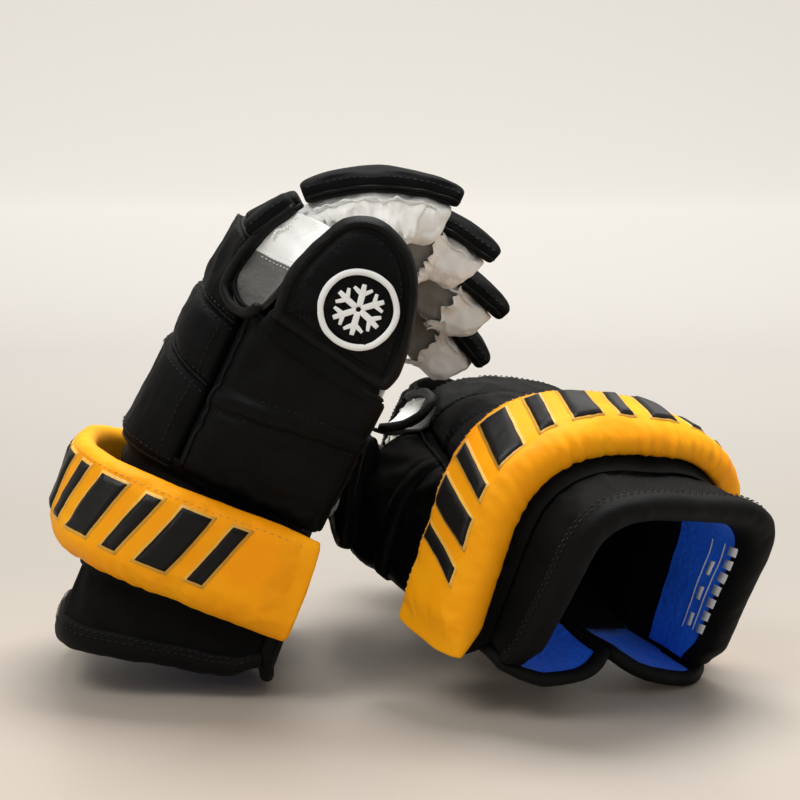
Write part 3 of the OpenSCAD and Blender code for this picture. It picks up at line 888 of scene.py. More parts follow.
for f in FINGERS:
    back = -math.tan(math.radians(f.pitch / 2))
    L, T = f.base, f.tip
    FPAD[f.name + "_base_pad"] = [(base_at(f, s), k, kh, back * (1 - s / L)) for s, k, kh in (
        (0.9, 0.80, 0.66), (1.3, 0.9, 0.84), (2.6, 0.97, 0.95), (5, 1, 1), (9, 1.01, 1.03),
        (L / 2, 1.01, 1.05), (L - 9, 1.01, 1.03), (L - 5, 1, 1), (L - 2.6, 0.97, 0.95),
        (L - 1.3, 0.9, 0.84), (L - 0.9, 0.80, 0.66))]
    for side in SIDES:
        FPAD[side + "_" + f.name + "_tip_pad"] = [(tip_at(posed(f, side), s), k, kh, 0) for s, k, kh in (
            (0.9, 0.80, 0.66), (1.4, 0.9, 0.84), (2.8, 0.97, 0.95), (6, 1, 1), (12, 1.01, 1.04),
            (T * 0.25, 1.01, 1.06), (T * 0.36, 1.01, 1.06), (T * 0.47, 1.01, 1.05), (T * 0.58, 1.0, 1.04),
            (T * 0.69, 0.99, 1.02), (T * 0.8, 0.98, 1.0), (T * 0.9, 0.96, 0.98), (T * 0.97, 0.94, 0.95),
            (T * 1.02, 0.92, 0.91), (T * 1.05, 0.88, 0.84), (T * 1.066, 0.8, 0.7), (T * 1.07, 0.7, 0.52))]
FPAD = {k: finger_pad(st) for k, st in FPAD.items()}

# ---- wrist roll --------------------------------------------------------------------


ROLL_N, FACE_N, UNDER_N = 150, 30, 12


def roll_shape():
    """The roll as rings across it, one for each place round the cuff, its outer face first."""
    prof = []
    for a in np.linspace(0, 1, FACE_N):
        # from the finger side to the cuff side, rounder at the cuff side
        y = ROLL_Y + ROLL_L * (1 - a)
        prof.append((y, roll_thick(y) - edge_drop(a * ROLL_L, 6, 6.5) - edge_drop((1 - a) * ROLL_L, 13, 15)))
    for a in np.linspace(0.06, 0.94, UNDER_N):
        prof.append((ROLL_Y + ROLL_L * a, 0.8 + 0.4 * math.sin(math.pi * a)))
    r = np.stack([roll_line(y, d, ROLL_N) for y, d in prof], 1)
    arc = lengths(r[:, 14])
    last = FACE_N - 1
    for i in range(ROLL_N):
        # both ends are thinner
        c, near_end = r[i].mean(0), min(i, ROLL_N - 1 - i)
        shrink = 0.28 + 0.72 * float(smooth(0, 9, near_end)) ** 0.8
        size = [shrink, 1 - 0.03 * (1 - min(1, near_end / 9)), 1 - 0.15 * (1 - shrink)]
        r[i] = c + (r[i] - c) * np.array(size)
        for j in range(FACE_N):
            # gathers along the seam at the cuff, dying away over the face
            near = math.exp(-((last - j) * ROLL_L / last / 9.0) ** 2)
            far = math.exp(-(j * ROLL_L / last / 5.0) ** 2)
            top = math.sin(math.pi * i / (ROLL_N - 1)) ** 2.2
            amp = (2.3 * near * top * noise1(arc[i] / 1.5, 1) + 0.3 * far * noise1(arc[i] / 3.0, 2)
                   + 0.35 * noise1(arc[i] / 16 + j * 0.11, 3))
            out = r[i, j] - c if j > 24 else r[i, j] * np.array([1, 0, 1]) - np.array([0, 0, 6])
            r[i, j] += unit(out) * amp
    return r


roll = loft(roll_shape())
held = np.zeros((ROLL_N, FACE_N + UNDER_N), bool)
held[:, FACE_N:] = held[:, [0, FACE_N - 2, FACE_N - 1]] = held[:4] = held[-4:] = True
roll.pin = list(held.ravel()) + [False, False]
ROLL = inflate(roll, 4.0, 2.0, 0.02)

# ---- cuff shell --------------------------------------------------------------------


def cuff_pad(nu=96, nv=26):
    ys = np.linspace(MOUTH_Y + 3, SHELL_FRONT, nv)
    outer, inner = np.zeros((nu, nv, 3)), np.zeros((nu, nv, 3))
    for j, y in enumerate(ys):
        outer[:, j] = cuff_line(y, 0.3, nu)
        inner[:, j] = cuff_line(y, CUFF_T, nu)
    for i in range(nu):
        for j in range(nv):
            e = (nv - 1 - j) * 3.3
            ue = min(i, nu - 1 - i) * 3.6
            d = edge_drop(e, 8, 4) + edge_drop(ue, 6, 3)
            d -= 0.5 * noise1(i * 0.35 + j * 0.2, 5) * smooth(0, 6, j)
            outer[i, j] = mix(outer[i, j], inner[i, j], min(max(d, -2) / 9, 0.8))
    return inflate(slab(outer, inner), 3.0, 1.2, 0.02)


CUFF = cuff_pad()
run_cloths()

# ---------------------------------------------------------------- hand pieces
def outer_face(pad):
    """The outer points of a blown-up pad, as its grid."""
    shape, (nu, nv) = pad
    return shape.points()[: nu * nv].reshape(nu, nv, 3)


for name, pad in PADS.items():
    surf = facing(outer_face(pad), 2, 1)
    deco = Shape()
    # piping and two rows of stitches along the seams across the hand
    u = np.linspace(0.01, 0.99, 120)
    for v in (0.0, 1.0):
        tube(deco, surf.at(u, v, 0.4)[0], 1.15, 1, n=7)
    for v in (0.16, 0.84) if name != "knuckle_pad" else (0.14, 0.86):
        stitches(deco, *surf.at(u, v), 2)
    stitches(deco, *surf.at(0.95, np.linspace(0.02, 0.98, 30)), 2)
    spawn(name, pad[0], ["nylon"], "hand", nodes=[name], levels=1)
    spawn(name + "_seams", deco, ["nylon", "piping", "thread"], "hand")

surf = facing(outer_face(SIDE_PAD), 0, -1)
deco = Shape()
u = v = np.linspace(0.03, 0.97, 60)
raised = (13 * u - HAND_BACK) / (THUMB_Y - 1.5 - HAND_BACK)
for off in (-0.075, 0.075):
    stitches(deco, *surf.at(u, raised + off), 1, 2.0, 1.6, 0.3)
tube(deco, surf.at(0.02, v, 0.6)[0], 1.3, 0, n=7)
tube(deco, surf.at(0.99, v, 0.4)[0], 1.2, 0, n=7)
tube(deco, surf.at(u, 0.985, 0.4)[0], 1.2, 0, n=7)
spawn("side_panel", SIDE_PAD[0], ["face"], "hand", nodes=["side_panel"], levels=1)
spawn("side_seams", deco, ["piping", "thread"], "hand")

# the seam between the pads of the back and the side panel, down in the valley
valley = Shape()
tube(valley, [side_line(y, 0)[0] + np.array([4.6, 0, -4.6])
              for y in np.linspace(HAND_BACK + 2, THUMB_Y + 1, 40)], 5.2, 0, n=14)
spawn("side_valley", valley, ["nylon"], "hand")

# ---- thumb -------------------------------------------------------------------------
spawn("thumb_pad", THUMB, ["face", "piping"], "thumb", nodes=["thumb_pad"], levels=1)
face = THUMB.points()
FACE_MID = face[14 * THUMB_N: 15 * THUMB_N].mean(0)
FACE_X = face[-2][0]


def on_face(y, z, lift):
    """Points on the thumb's face, which is flat enough to follow with the distance from its middle."""
    r = np.hypot(y - FACE_MID[1], z - FACE_MID[2])
    return np.stack([FACE_X + 0.0009 * r * r - lift, y, z], -1)


def patch(shape, outline, lift=0.8):
    """A raised patch on the thumb's face with a given outline of [y, z]."""
    o = np.asarray(outline, float)
    c, k = o.mean(0), len(o)
    rows = [on_face(*(c + (o - c) * size).T, up)
            for size, up in ((1.0, 0.0), (0.985, lift), (0.8, lift + 0.1))]
    shape.add(np.vstack(rows + [on_face(*c, lift + 0.1)]), hoops(3, k) + fan(2 * k, k, 3 * k), 0, True)


# A plain ring with a six-armed star of ice in it
EMBLEM = np.array([76.2, -11.7])
RING_IN, RING_OUT = 17.3, 20.6
emblem = Shape()
cy, cz = np.cos(turn(72)), np.sin(turn(72))
emblem.add(np.vstack([on_face(EMBLEM[0] + r * cy, EMBLEM[1] + r * cz, lift) for r, lift in (
    (RING_IN, 0.0), (RING_IN + 0.2, 0.75), ((RING_IN + RING_OUT) / 2, 0.95), (RING_OUT - 0.2, 0.75),
    (RING_OUT, 0.0))]), hoops(5, 72), 0, True)


def arm(start, way, steps):
    """One bar of the star: steps are how far along it and how wide it is there."""
    side = np.array([-way[1], way[0]])
    patch(emblem, [start + way * a - side * w for a, w in steps]
          + [start + way * a + side * w for a, w in steps[::-1]])


for k in range(6):
    t = math.radians(60 * k + 12)
    d, e = np.array([math.cos(t), math.sin(t)]), np.array([-math.sin(t), math.cos(t)])
    arm(EMBLEM, d, [(1.2, 1.5), (7, 1.6), (13.2, 1.1)])
    for sgn in (-1, 1):
        branch = d * math.cos(math.radians(55)) + sgn * e * math.sin(math.radians(55))
        arm(EMBLEM + d * 7.6, branch, [(0, 1.1), (3, 1.1), (5.8, 0.8)])
spawn("thumb_emblem", emblem, ["print"], "thumb")
deco = Shape()
line = inset(OUT, 9.0)
line = line[line[:, 0] > THUMB_Y + 9]
line = line[np.argsort(np.arctan2(line[:, 1] - THUMB_Z, line[:, 0] - THUMB_Y))]
line = np.insert(line, 0, THUMB_X - 7.05, 1)
stitches(deco, line, np.tile([-1.0, 0, 0], (len(line), 1)), 0, 2.0, 1.5, 0.3)
spawn("thumb_stitches", deco, ["thread"], "thumb")


def thumb_ring(s, w, h, n=32, e=0.8):
    crease = CREASE * max(0, 1 - s / 50)
    up = h * bent(np.sin(turn(n)), e)
    r = np.stack([THUMB_X + 19 + w * bent(np.cos(turn(n)), e), THUMB_Y + s * THUMB_S + crease * (up - 4),
                  THUMB_Z - 4 + THUMB_RISE * s + up], 1)
    return r.mean(0) + (r - r.mean(0)) * (1 + 0.035 * noise1(np.arange(n) * 0.5 + s * 0.4, 8)[:, None])


spawn("thumb_stall", loft([thumb_ring(s, w, h) for s, w, h in (
    (4, 9.6, 22.5), (10, 9.8, 22.4), (17, 9.7, 21.8), (24, 9.6, 21.2), (31, 9.5, 20.8), (38, 9.3, 20),
    (45, 9, 19), (52, 8.8, 17.4), (60, 8.5, 15.2), (65, 7.8, 12.4), (69, 6.4, 8.8), (71.5, 4.2, 5))]),
      ["white"], "thumb", nodes=["thumb_stall"], levels=1)
splint = [np.stack([THUMB_X + 8.35 + 0.7 * np.cos(turn(24)), np.full(24, THUMB_Y + s * THUMB_S),
                    THUMB_Z - 4 + h * np.sin(turn(24))], 1)
          for s, h in ((8, 13), (12, 15), (30, 16), (52, 13), (60, 10), (64, 7))]
spawn("thumb_splint", loft(splint), ["plastic"], "thumb", nodes=["thumb_splint"])

# The fold of leather that joins the thumb to the hand, and the ball of the thumb
cos32, sin32 = np.cos(turn(32)), np.sin(turn(32))
fold = []
for s, k in ((-9, 0.90), (-5, 0.915), (-2, 0.90), (0, 0.875), (2, 0.88), (4.5, 0.86), (8, 0.80)):
    h = 39.0 * k
    fold.append(np.stack([THUMB_X + 1.6 + 6.6 * k * bent(cos32, 0.8),
                          THUMB_Y + s + CREASE * h * bent(sin32, 0.9),
                          THUMB_Z + h * bent(sin32, 0.9)], 1))
spawn("thumb_fold", loft(fold), ["nylon"], "hand", levels=1,
      blend=("thumb", [THUMB_X, THUMB_Y - 3, THUMB_Z], [THUMB_X, THUMB_Y + 5, THUMB_Z]))
ball = []
for k in np.linspace(0, 1, 9):
    q = smooth(0, 1, k)
    ball.append(np.stack([mix(-70, THUMB_X + 19, q) + mix(17, 9.2, q) * bent(cos32, 0.8),
                          np.full(32, THUMB_Y + mix(-14, 12, k)),
                          mix(-13, THUMB_Z - 4, q) + mix(26, 21.5, q) * bent(sin32, 0.8)], 1))
spawn("thumb_root", loft(ball), ["grey"], "hand", levels=1,
      blend=("thumb", [THUMB_X + 19, THUMB_Y - 4, THUMB_Z], [THUMB_X + 19, THUMB_Y + 9, THUMB_Z]))

# ---- fingers -----------------------------------------------------------------------


STALL_W, STALL_N = FINGER_W / 2 - 1.4, 48
# how far along the tip the grey underside of the stall reaches, none on the index finger
GREY_TO = dict(index=0.0, middle=0.76, ring=0.82, little=0.79)


def pad_and_seams(f, pad, name, body, sides=SIDES):
    """A finger's pad with its piping and stitches."""
    spawn(name, pad[0], ["nylon"], body, nodes=[name], levels=1, sides=sides)
    rr, n = outer_face(pad), pad[1][1]
    deco = Shape()
    for i in (int(n * 0.545), int(n * 0.955)):
        line = rr[1:-1, i]
        side = np.array([np.sign(line[0, 0] - f.place * STEP), 0, 0])
        tube(deco, even(line, 40) + side * 0.3, 0.9, 0, n=7)
    for i in (int(n * 0.47), int(n * 0.03)):
        line = even(rr[2:-2, i], 60)
        side = np.array([np.sign(line[0, 0] - f.place * STEP), 0, 0])
        stitches(deco, line, np.tile(side, (60, 1)), 1, 2.0, 1.5, 0.28, 0.12)
    spawn(name + "_seams", deco, ["piping", "thread"], body, sides=sides)


def stall_ring(f, fi, s):
    """The stall of a finger at s past its knuckle, wrinkled more on its underside."""
    k = float(np.interp((s - f.base) / f.tip, [0, 0.25, 0.5, 0.75, 0.88, 0.95, 1.0, 1.03, 1.05],
                        [1, 1, 0.99, 0.98, 0.96, 0.92, 0.82, 0.66, 0.45]))
    crease = 0.09 * math.exp(-((s - f.base) / 6) ** 2)
    # thinner at the knuckle, where the leather meets the palm
    low = float(np.interp(s, [0, 16, f.base + 10], [0.86, 0.94, 1.0]))
    h = STALL_H / 2 * k
    mid = STALL_TOP + 2.4 * float(smooth(f.base * 0.5, f.base + 8, s)) - h * low - (1 - k) * 2
    r = ring(finger_at(f, s), STALL_W * k * (1 - crease * 0.5), h * low, mid, 0, STALL_N, 0.8)
    t = np.arange(STALL_N)
    under = np.clip(0.45 - np.sin(turn(STALL_N)), 0, 1)
    amp = 0.045 * noise1(t * 0.38 + s * 0.13, 20 + fi)
    amp += 0.085 * noise1(s * 0.36 + t * 0.16, 30 + fi) * under
    amp += 0.055 * noise1(s * 0.8 - t * 0.24, 35 + fi) * under
    amp -= crease * under * 1.3
    return r.mean(0) + (r - r.mean(0)) * (1 + np.clip(amp, -0.24, 0.1))[:, None]


def torn_leather(f, fi, edge_s):
    """Leather laid over the stall, with a ragged edge that curls away from it."""
    along = np.linspace(f.base - 5, f.base + f.tip * 0.84, 60)
    round_it = 0.47 + np.linspace(-0.11, 0.56, 52)

    def index_point(k, w):
        # from under the pad down the side, and further round towards the tip
        rag = 1.6 * float(noise1(k * 0.9, 90)) + 0.9 * float(noise1(k * 2.3, 95))
        curl = w ** 2 * (2.6 + 1.6 * float(noise1(k * 0.4, 97)))
        turned = mix(0.39, mix(0.50, 0.62, (k / 59) ** 2.2) + 0.014 * rag, w)
        return along[k], turned, 0.8 + curl, -0.5 + curl

    def other_point(k, w, width=8.0):
        # across the finger, where the grey underside ends
        rag = 2.6 * float(noise1(k * 0.8, 90 + fi)) + 1.4 * float(noise1(k * 2.3, 95 + fi))
        curl = (1 - w) ** 2 * (3.2 + 1.8 * float(noise1(k * 0.6, 97 + fi)))
        s = edge_s - 2.2 + (1 - w) * rag + w * width
        return s, round_it[k], 0.9 * (1.25 - w) + curl, -0.7 + curl

    point, rows, count = (other_point, 7, 52) if fi else (index_point, 6, 60)
    up, dn = np.zeros((rows, count, 3)), np.zeros((rows, count, 3))
    for j, w in enumerate(np.linspace(0, 1, rows)):
        for k in range(count):
            s, turned, top, bottom = point(k, w)
            r = stall_ring(f, fi, s)
            i = turned * STALL_N
            i0, fr = int(i) % STALL_N, i - int(i)
            p = r[i0] * (1 - fr) + r[(i0 + 1) % STALL_N] * fr
            out = unit(p - r.mean(0))
            up[j, k], dn[j, k] = p + out * top, p + out * bottom
    flap = slab(up, dn)
    if np.dot(np.cross(up[1, 20] - up[0, 20], up[0, 21] - up[0, 20]), up[0, 20] - dn[0, 20]) < 0:
        flap.f = flipped(flap.f)
    return flap


def frayed_edges(f, fi, s0, s1):
    """The frayed seam allowance along both sides of the stall, under the pad."""
    shape = Shape()
    for sg in (-1, 1):
        line = []
        for s in np.linspace(s0, s1, 60):
            x, y, z, pitch = finger_at(f, s)
            p = math.radians(pitch)
            k = float(np.interp(max(0, (s - f.base) / f.tip), [0, 0.5, 0.75, 0.95], [1, 0.98, 0.95, 0.84]))
            up = 9.2 + 0.9 * float(noise1(s * 0.5, 40 + fi))
            line.append([x + sg * (STALL_W * k + 0.15), y + up * math.sin(p), z + up * math.cos(p)])
        wv = noise1(np.arange(60) * 0.9, 50 + fi + (sg > 0))
        line = np.array(line) + np.array([sg * 0.7, 0, 0]) * (0.5 + 0.5 * wv[:, None])
        tube(shape, line, np.clip(0.75 + 0.35 * wv, 0.35, 1.2), 0, n=6, flat=0.6)
    return shape


def gusset(f, fi, n=40):
    """The cloth from the front of the hand into the stall."""
    rings = []
    zt, zb = f.z + 7, mix(-2, 5, (1.5 - abs(f.place)) / 1.5) if fi < 3 else -4
    hh, zc = (zt - zb) / 2, (zt + zb) / 2
    back = np.stack([f.place * STEP + 14.2 * bent(np.cos(turn(n)), 0.6), np.full(n, 60 + (f.y - 79) * 0.6),
                     zc + hh * bent(np.sin(turn(n)), 0.6)], 1)
    for k in np.linspace(0, 1, 9):
        front = ring(base_at(f, mix(-2, 9, k)), STALL_W * 0.97, STALL_H / 2 * 0.97, STALL_MID, 0, n, 0.82)
        rings.append(back + (front - back) * float(smooth(0, 1, k)))
    return loft(rings, lambda i, j: 0 if math.sin(2 * math.pi * (i + 0.5) / n) < 0.1 else 1)


for fi, finger in enumerate(FINGERS):
    L, T = finger.base, finger.tip
    base, tip = finger.name + "_base", finger.name + "_tip"
    pad_and_seams(finger, FPAD[base + "_pad"], base + "_pad", base)
    for side in SIDES:
        f = posed(finger, side)
        pad_and_seams(f, FPAD[side + "_" + tip + "_pad"], tip + "_pad", tip, (side,))
        # one leather stall over both stretches, which bends at the middle joint
        edge_s = L + T * GREY_TO[f.name]
        stations = (list(np.linspace(1.5, L + T * 0.88, 40))
                    + [L + T * k for k in (0.92, 0.955, 0.985, 1.005, 1.025, 1.04)])

        def pick(i, j):
            low = math.sin(2 * math.pi * (i + 0.5) / STALL_N) < 0.62
            return 1 if low and fi and stations[j] < edge_s else 0

        stall = loft([stall_ring(f, fi, s) for s in stations], pick)
        flap = torn_leather(f, fi, edge_s)
        stall.add(flap.points(), flap.f, 2)
        spawn(f.name + "_stall", stall, ["white", "grey", "fray"], base, levels=1, sides=(side,),
              nodes=[base + "_stall", tip + "_stall"],
              blend=(tip, base_at(finger, L - 7)[:3], tip_at(finger, 7)[:3]))
        for part, body, s0, s1 in (("near", base, 3.5, L - 3.5), ("far", tip, L + 3, L + T * 0.93)):
            spawn(f.name + "_edge_" + part, frayed_edges(f, fi, s0, s1), ["fray"], body, sides=(side,))
    spawn(finger.name + "_gusset", gusset(finger, fi), ["grey", "nylon"], "hand", levels=1,
          blend=(base, base_at(finger, -5)[:3], base_at(finger, 6)[:3]))

# ---- palm --------------------------------------------------------------------------
def sheet(line, ys):
    """Two grids, 3 mm apart, from lines across the glove."""
    return (np.stack([line(y, d) for y in ys], 1) for d in (3, 0))


palm = Shape()
top, bottom = sheet(palm_line, np.linspace(HAND_BACK, 62, 30))
across_n = np.arange(40)
for j in range(30):
    wrinkle = noise1(across_n * 0.3 + j * 0.5, 60) * 0.7 + noise1(across_n * 0.1 + j * 1.3, 61) * 0.5
    bottom[:, j, 2] -= np.clip(wrinkle, -1, 0.6)
leather = slab(top, bottom)
palm.add(leather.points(), leather.f, 0)
leather = slab(*sheet(ball_line, np.linspace(HAND_BACK, THUMB_Y - 2, 24)))
palm.add(leather.points(), leather.f, 1)
spawn("palm", palm, ["grey", "white"], "hand", nodes=["palm"], levels=1)

# ---- web between thumb and index, with its piped edge ------------------------------
ky = [44, 50, 56, 66, 77, 92, 105]
ys = np.linspace(44, 105, 34)
A = np.stack([np.interp(ys, ky, [-59, -55, -52.5, -52, -52.5, -54, -56]), ys,
              np.interp(ys, ky, [40, 47, 51, 51.5, 49, 43.5, 36])], 1)
B = np.stack([np.interp(ys, ky, [-63, -75, -84, -87, -88, -87.5, -85]), ys + 1.5,
              np.interp(ys, ky, [37, 34.5, 32.5, 30, 27.5, 23, 17.5])], 1)
MESH_TO = 77
g = np.zeros((34, 14, 3))
for j, k in enumerate(np.linspace(0, 1, 14)):
    g[:, j] = A + (B - A) * k
    deep = np.interp(ys, [44, 54, 70, 105], [0, 9, 13, 9]) * math.sin(math.pi * k) ** 0.8
    g[:, j, 2] -= deep
    g[:, j, 0] += deep * 0.35 + 0.9 * noise1(ys * 0.22 + k * 3, 62)
web = slab(g, g - np.array([-0.6, 0, 1.6]))
p = web.points()
web.m = [int(p[list(q), 1].mean() < MESH_TO) for q in web.f]
spawn("web", web, ["white", "mesh"], "hand", levels=1, blend=("thumb", [-66, 62, 24], [-86, 66, 16]))
deco = Shape()
row = g[int(np.argmin(np.abs(ys - MESH_TO)))]
for off in (-1.6, 0.6, 2.8):
    q = even(row[1:-1], 40) + np.array([0, off, 0.25])
    stitches(deco, q, np.tile([-0.4, 0, 1.0], (40, 1)), 0, 1.2, 1.3, 0.34, 0.2)
spawn("web_stitches", deco, ["print"], "hand")
pipe = Shape()
loop = rounded([[-55.5, 106, 38.5], [-55, 94, 45], [-54, 78, 51], [-54, 62, 54], [-56, 52.5, 53.5],
                [-62, 46.8, 46.5], [-72, 46.8, 39], [-81, 50, 35.5], [-86, 55, 33]], 3)
tube(pipe, even(loop, 90), 3.0, 0, n=12, flat=0.85)
tube(pipe, even(loop + np.array([1.5, 3.4, -3.6]), 90)[:72], 1.3, 0, n=8)
spawn("web_piping", pipe, ["piping"], "hand")

# ---- wrist fold between cuff and hand ----------------------------------------------
def closed(line, sole_x, sole_y, sole_z):
    """A line over the glove, closed by points below it into a ring."""
    return np.vstack([line, np.stack([sole_x, np.full(len(sole_x), sole_y), sole_z], 1)])


outer, inner = [], []
for y in np.linspace(-64, -37, 20):
    k = (y + 64) / 27
    foot, foot_z = mix(57.5, 59, k), mix(-41, -37, k)
    sag = 2.5 * np.sin(np.linspace(0, math.pi, 26)[1:-1])
    r = closed(arch(y, mix(55.5, 58, k), mix(52.5, 48, k), mix(9, 20.5, k), foot, foot_z, 76),
               np.linspace(-foot, foot, 26)[1:-1], y, foot_z - sag)
    c, t = np.array([0, y, 8.0]), np.arange(len(r))
    dip = (3.2 * math.exp(-((y + 48.5) / 4.0) ** 2) + 0.9 * noise1(y * 0.55 + t * 0.05, 64)
           + 0.5 * noise1(t * 0.5 + y * 0.3, 65)) / 60
    outer.append(c + (r - c) * (1 - dip)[:, None])
    inner.append(c + (r - c) * (0.95 - dip)[:, None])
spawn("wrist_fold", sleeve(np.array(outer), np.array(inner)), ["nylon"], "cuff", "both", levels=1,
      blend=("hand", [0, -55, 10], [0, -42, 10]))

# sleeve of the lining inside the hand, closed at its far end, in near-black that paints the shade deep in the
# glove
outer, inner = [], []
for y in list(np.linspace(-54, 40, 22)) + [44, 46]:
    # k goes from 0 in the cuff to 1 in the hand, narrow from 0 at the wrist to 1 at the far end
    k = float(smooth(-54, -38, y))
    narrow = max(0, (y + 38) / 84)
    w, h, z = mix(46, 43, k) - 6 * narrow, mix(42.5, 31, k) - 3 * narrow, mix(9, 20, k) + 2 * narrow
    sole_z = mix(-43, -25.5, k) + 24 * narrow
    r = closed(arch(y, w, h, z, w + 1, sole_z, 60), np.linspace(-w - 1, w + 1, 22)[1:-1], y - 24 * (1 - k),
               np.full(20, sole_z - 0.5))
    r += 0.6 * noise1(np.arange(80) * 0.4 + y * 0.2, 61)[:, None] * unit(r - np.array([0, y, 0])) * k
    c = np.array([0, y, 4.0])
    size = 1.0 if y < 43 else (0.8 if y < 45 else 0.02)
    outer.append(c + (r - c) * size)
    inner.append(c + (r - c) * size * 0.965 - np.array([0, 1.2, 0]))
spawn("hand_lining", sleeve(np.array(outer), np.array(inner)), ["dark"], "cuff", "both", levels=1,
      blend=("hand", [0, -55, 10], [0, -40, 10]))

# inner cloth of the roll, down to the cuff
rows = []
for k in np.linspace(0, 1, 9):
    a = roll_line(ROLL_Y + 9 - 8 * k, 1.0, 110)
    b = cuff_line(ROLL_Y + 3, -0.4, 110)
    b[:, 1] -= 4 * k
    q = smooth(0, 1, k)
    r = a * (1 - q) + b * q
    r[:, 1] += 0.5 * noise1(np.arange(110) * 0.5, 62) * math.sin(math.pi * k)
    rows.append(r)
up = np.stack(rows, 1)
dn = up.copy()
dn[:, :, 1] += 1.2
dn[:, :, [0, 2]] *= 0.985
spawn("roll_skirt", slab(up, dn), ["cuff"], "cuff_roll", False, levels=1,
      blend=("cuff", [0, ROLL_Y + 8, 5], [0, ROLL_Y + 1, 4.4]))

# ---------------------------------------------------------------- cuff
spawn("cuff_shell", CUFF, ["cuff"], "cuff", False, ["cuff_shell"], levels=1)

# binding tape round the edge of the mouth, from the outer face of the shell to the lining's inner
# face, D1 further in
sec = []
D1 = CUFF_T + LINING_GAP + LINING_T
TAPE_Y = MOUTH_Y + 1.5
for y, d in ((12, -0.5), (8, -0.9), (4, -0.7), (1.2, 0.4), (-0.8, 2.2), (-2.0, 4.4), (-2.5, D1 / 2 + 0.4),
             (-2.1, D1 - 3.6), (-0.9, D1 - 1.6), (1.4, D1 - 0.2), (5, D1 + 0.6), (9, D1 + 0.9),
             (11, D1 + 0.5), (11, D1 - 1.4), (9, D1 - 1.8), (6, CUFF_T + 0.5), (8, 3), (12, 1.4)):
    sec.append(cuff_line(TAPE_Y + y, d, 110))
sec = np.stack(sec, 1)
sec[:, 5:8, 1] += noise1(np.arange(110) * 0.8, 70)[:, None] * 0.35
spawn("cuff_binding", loft(sec), ["binding"], "cuff", False, ["cuff_binding"], levels=1)
deco = Shape()
for y, d in ((10.2, -0.95), (7.4, -1.15)):
    q = cuff_line(TAPE_Y + y, d, 200)
    nn = unit(cuff_line(TAPE_Y + y, d - 3, 200) - q)
    stitches(deco, q[3:-3], nn[3:-3], 0, 2.4, 1.5, 0.36, 0.25)
spawn("cuff_stitches", deco, ["thread"], "cuff", False)

# lining: blue knit near the mouth; further in, near-black that paints the shade deep inside the cuff
nu, nv, painted_shade_from = 90, 30, 0.52
ys = np.linspace(MOUTH_Y + 4, SHELL_FRONT + 4, nv)
low = np.stack([cuff_line(y, CUFF_T + 0.8, nu) for y in ys], 1)
g = np.stack([cuff_line(y, D1 + 0.5 * math.sin(9 * j / (nv - 1)), nu) for j, y in enumerate(ys)], 1)
lining = slab(low, g)
lining.m = [int(np.mean([v % nv for v in q]) / (nv - 1) > painted_shade_from) for q in lining.f]
spawn("cuff_lining", lining, ["blue", "dark"], "cuff", False, ["cuff_lining"], levels=1)

# a printed block of plain bars on the lining, on the little finger's side
lab = Shape()


def lining_at(z, y, lift):
    line = cuff_line(y, D1 + 0.6 + lift, 400)[:200]
    return line[int(np.argmin(np.abs(line[:, 2] - z)))]


def lining_bar(z0, z1, y0, y1, n=10):
    top, bottom = (np.array([[lining_at(mix(z0, z1, k), y, lift) for y in (y0, y1)]
                             for k in np.linspace(0, 1, n)]) for lift in (0.35, 0.0))
    q = slab(top, bottom)
    lab.add(q.points(), q.f)


for k in range(7):
    lining_bar(-30 + 8.2 * k, -24.5 + 8.2 * k, -131, -125.5)
lining_bar(-30, 25, -122.8, -122.2, n=20)
for k in range(3):
    lining_bar(-28 + 16 * k, -20 + 16 * k, -120, -117)
lining_bar(-30, 25, -114.6, -114.0, n=20)
spawn("cuff_print", lab, ["print"], "cuff", False)

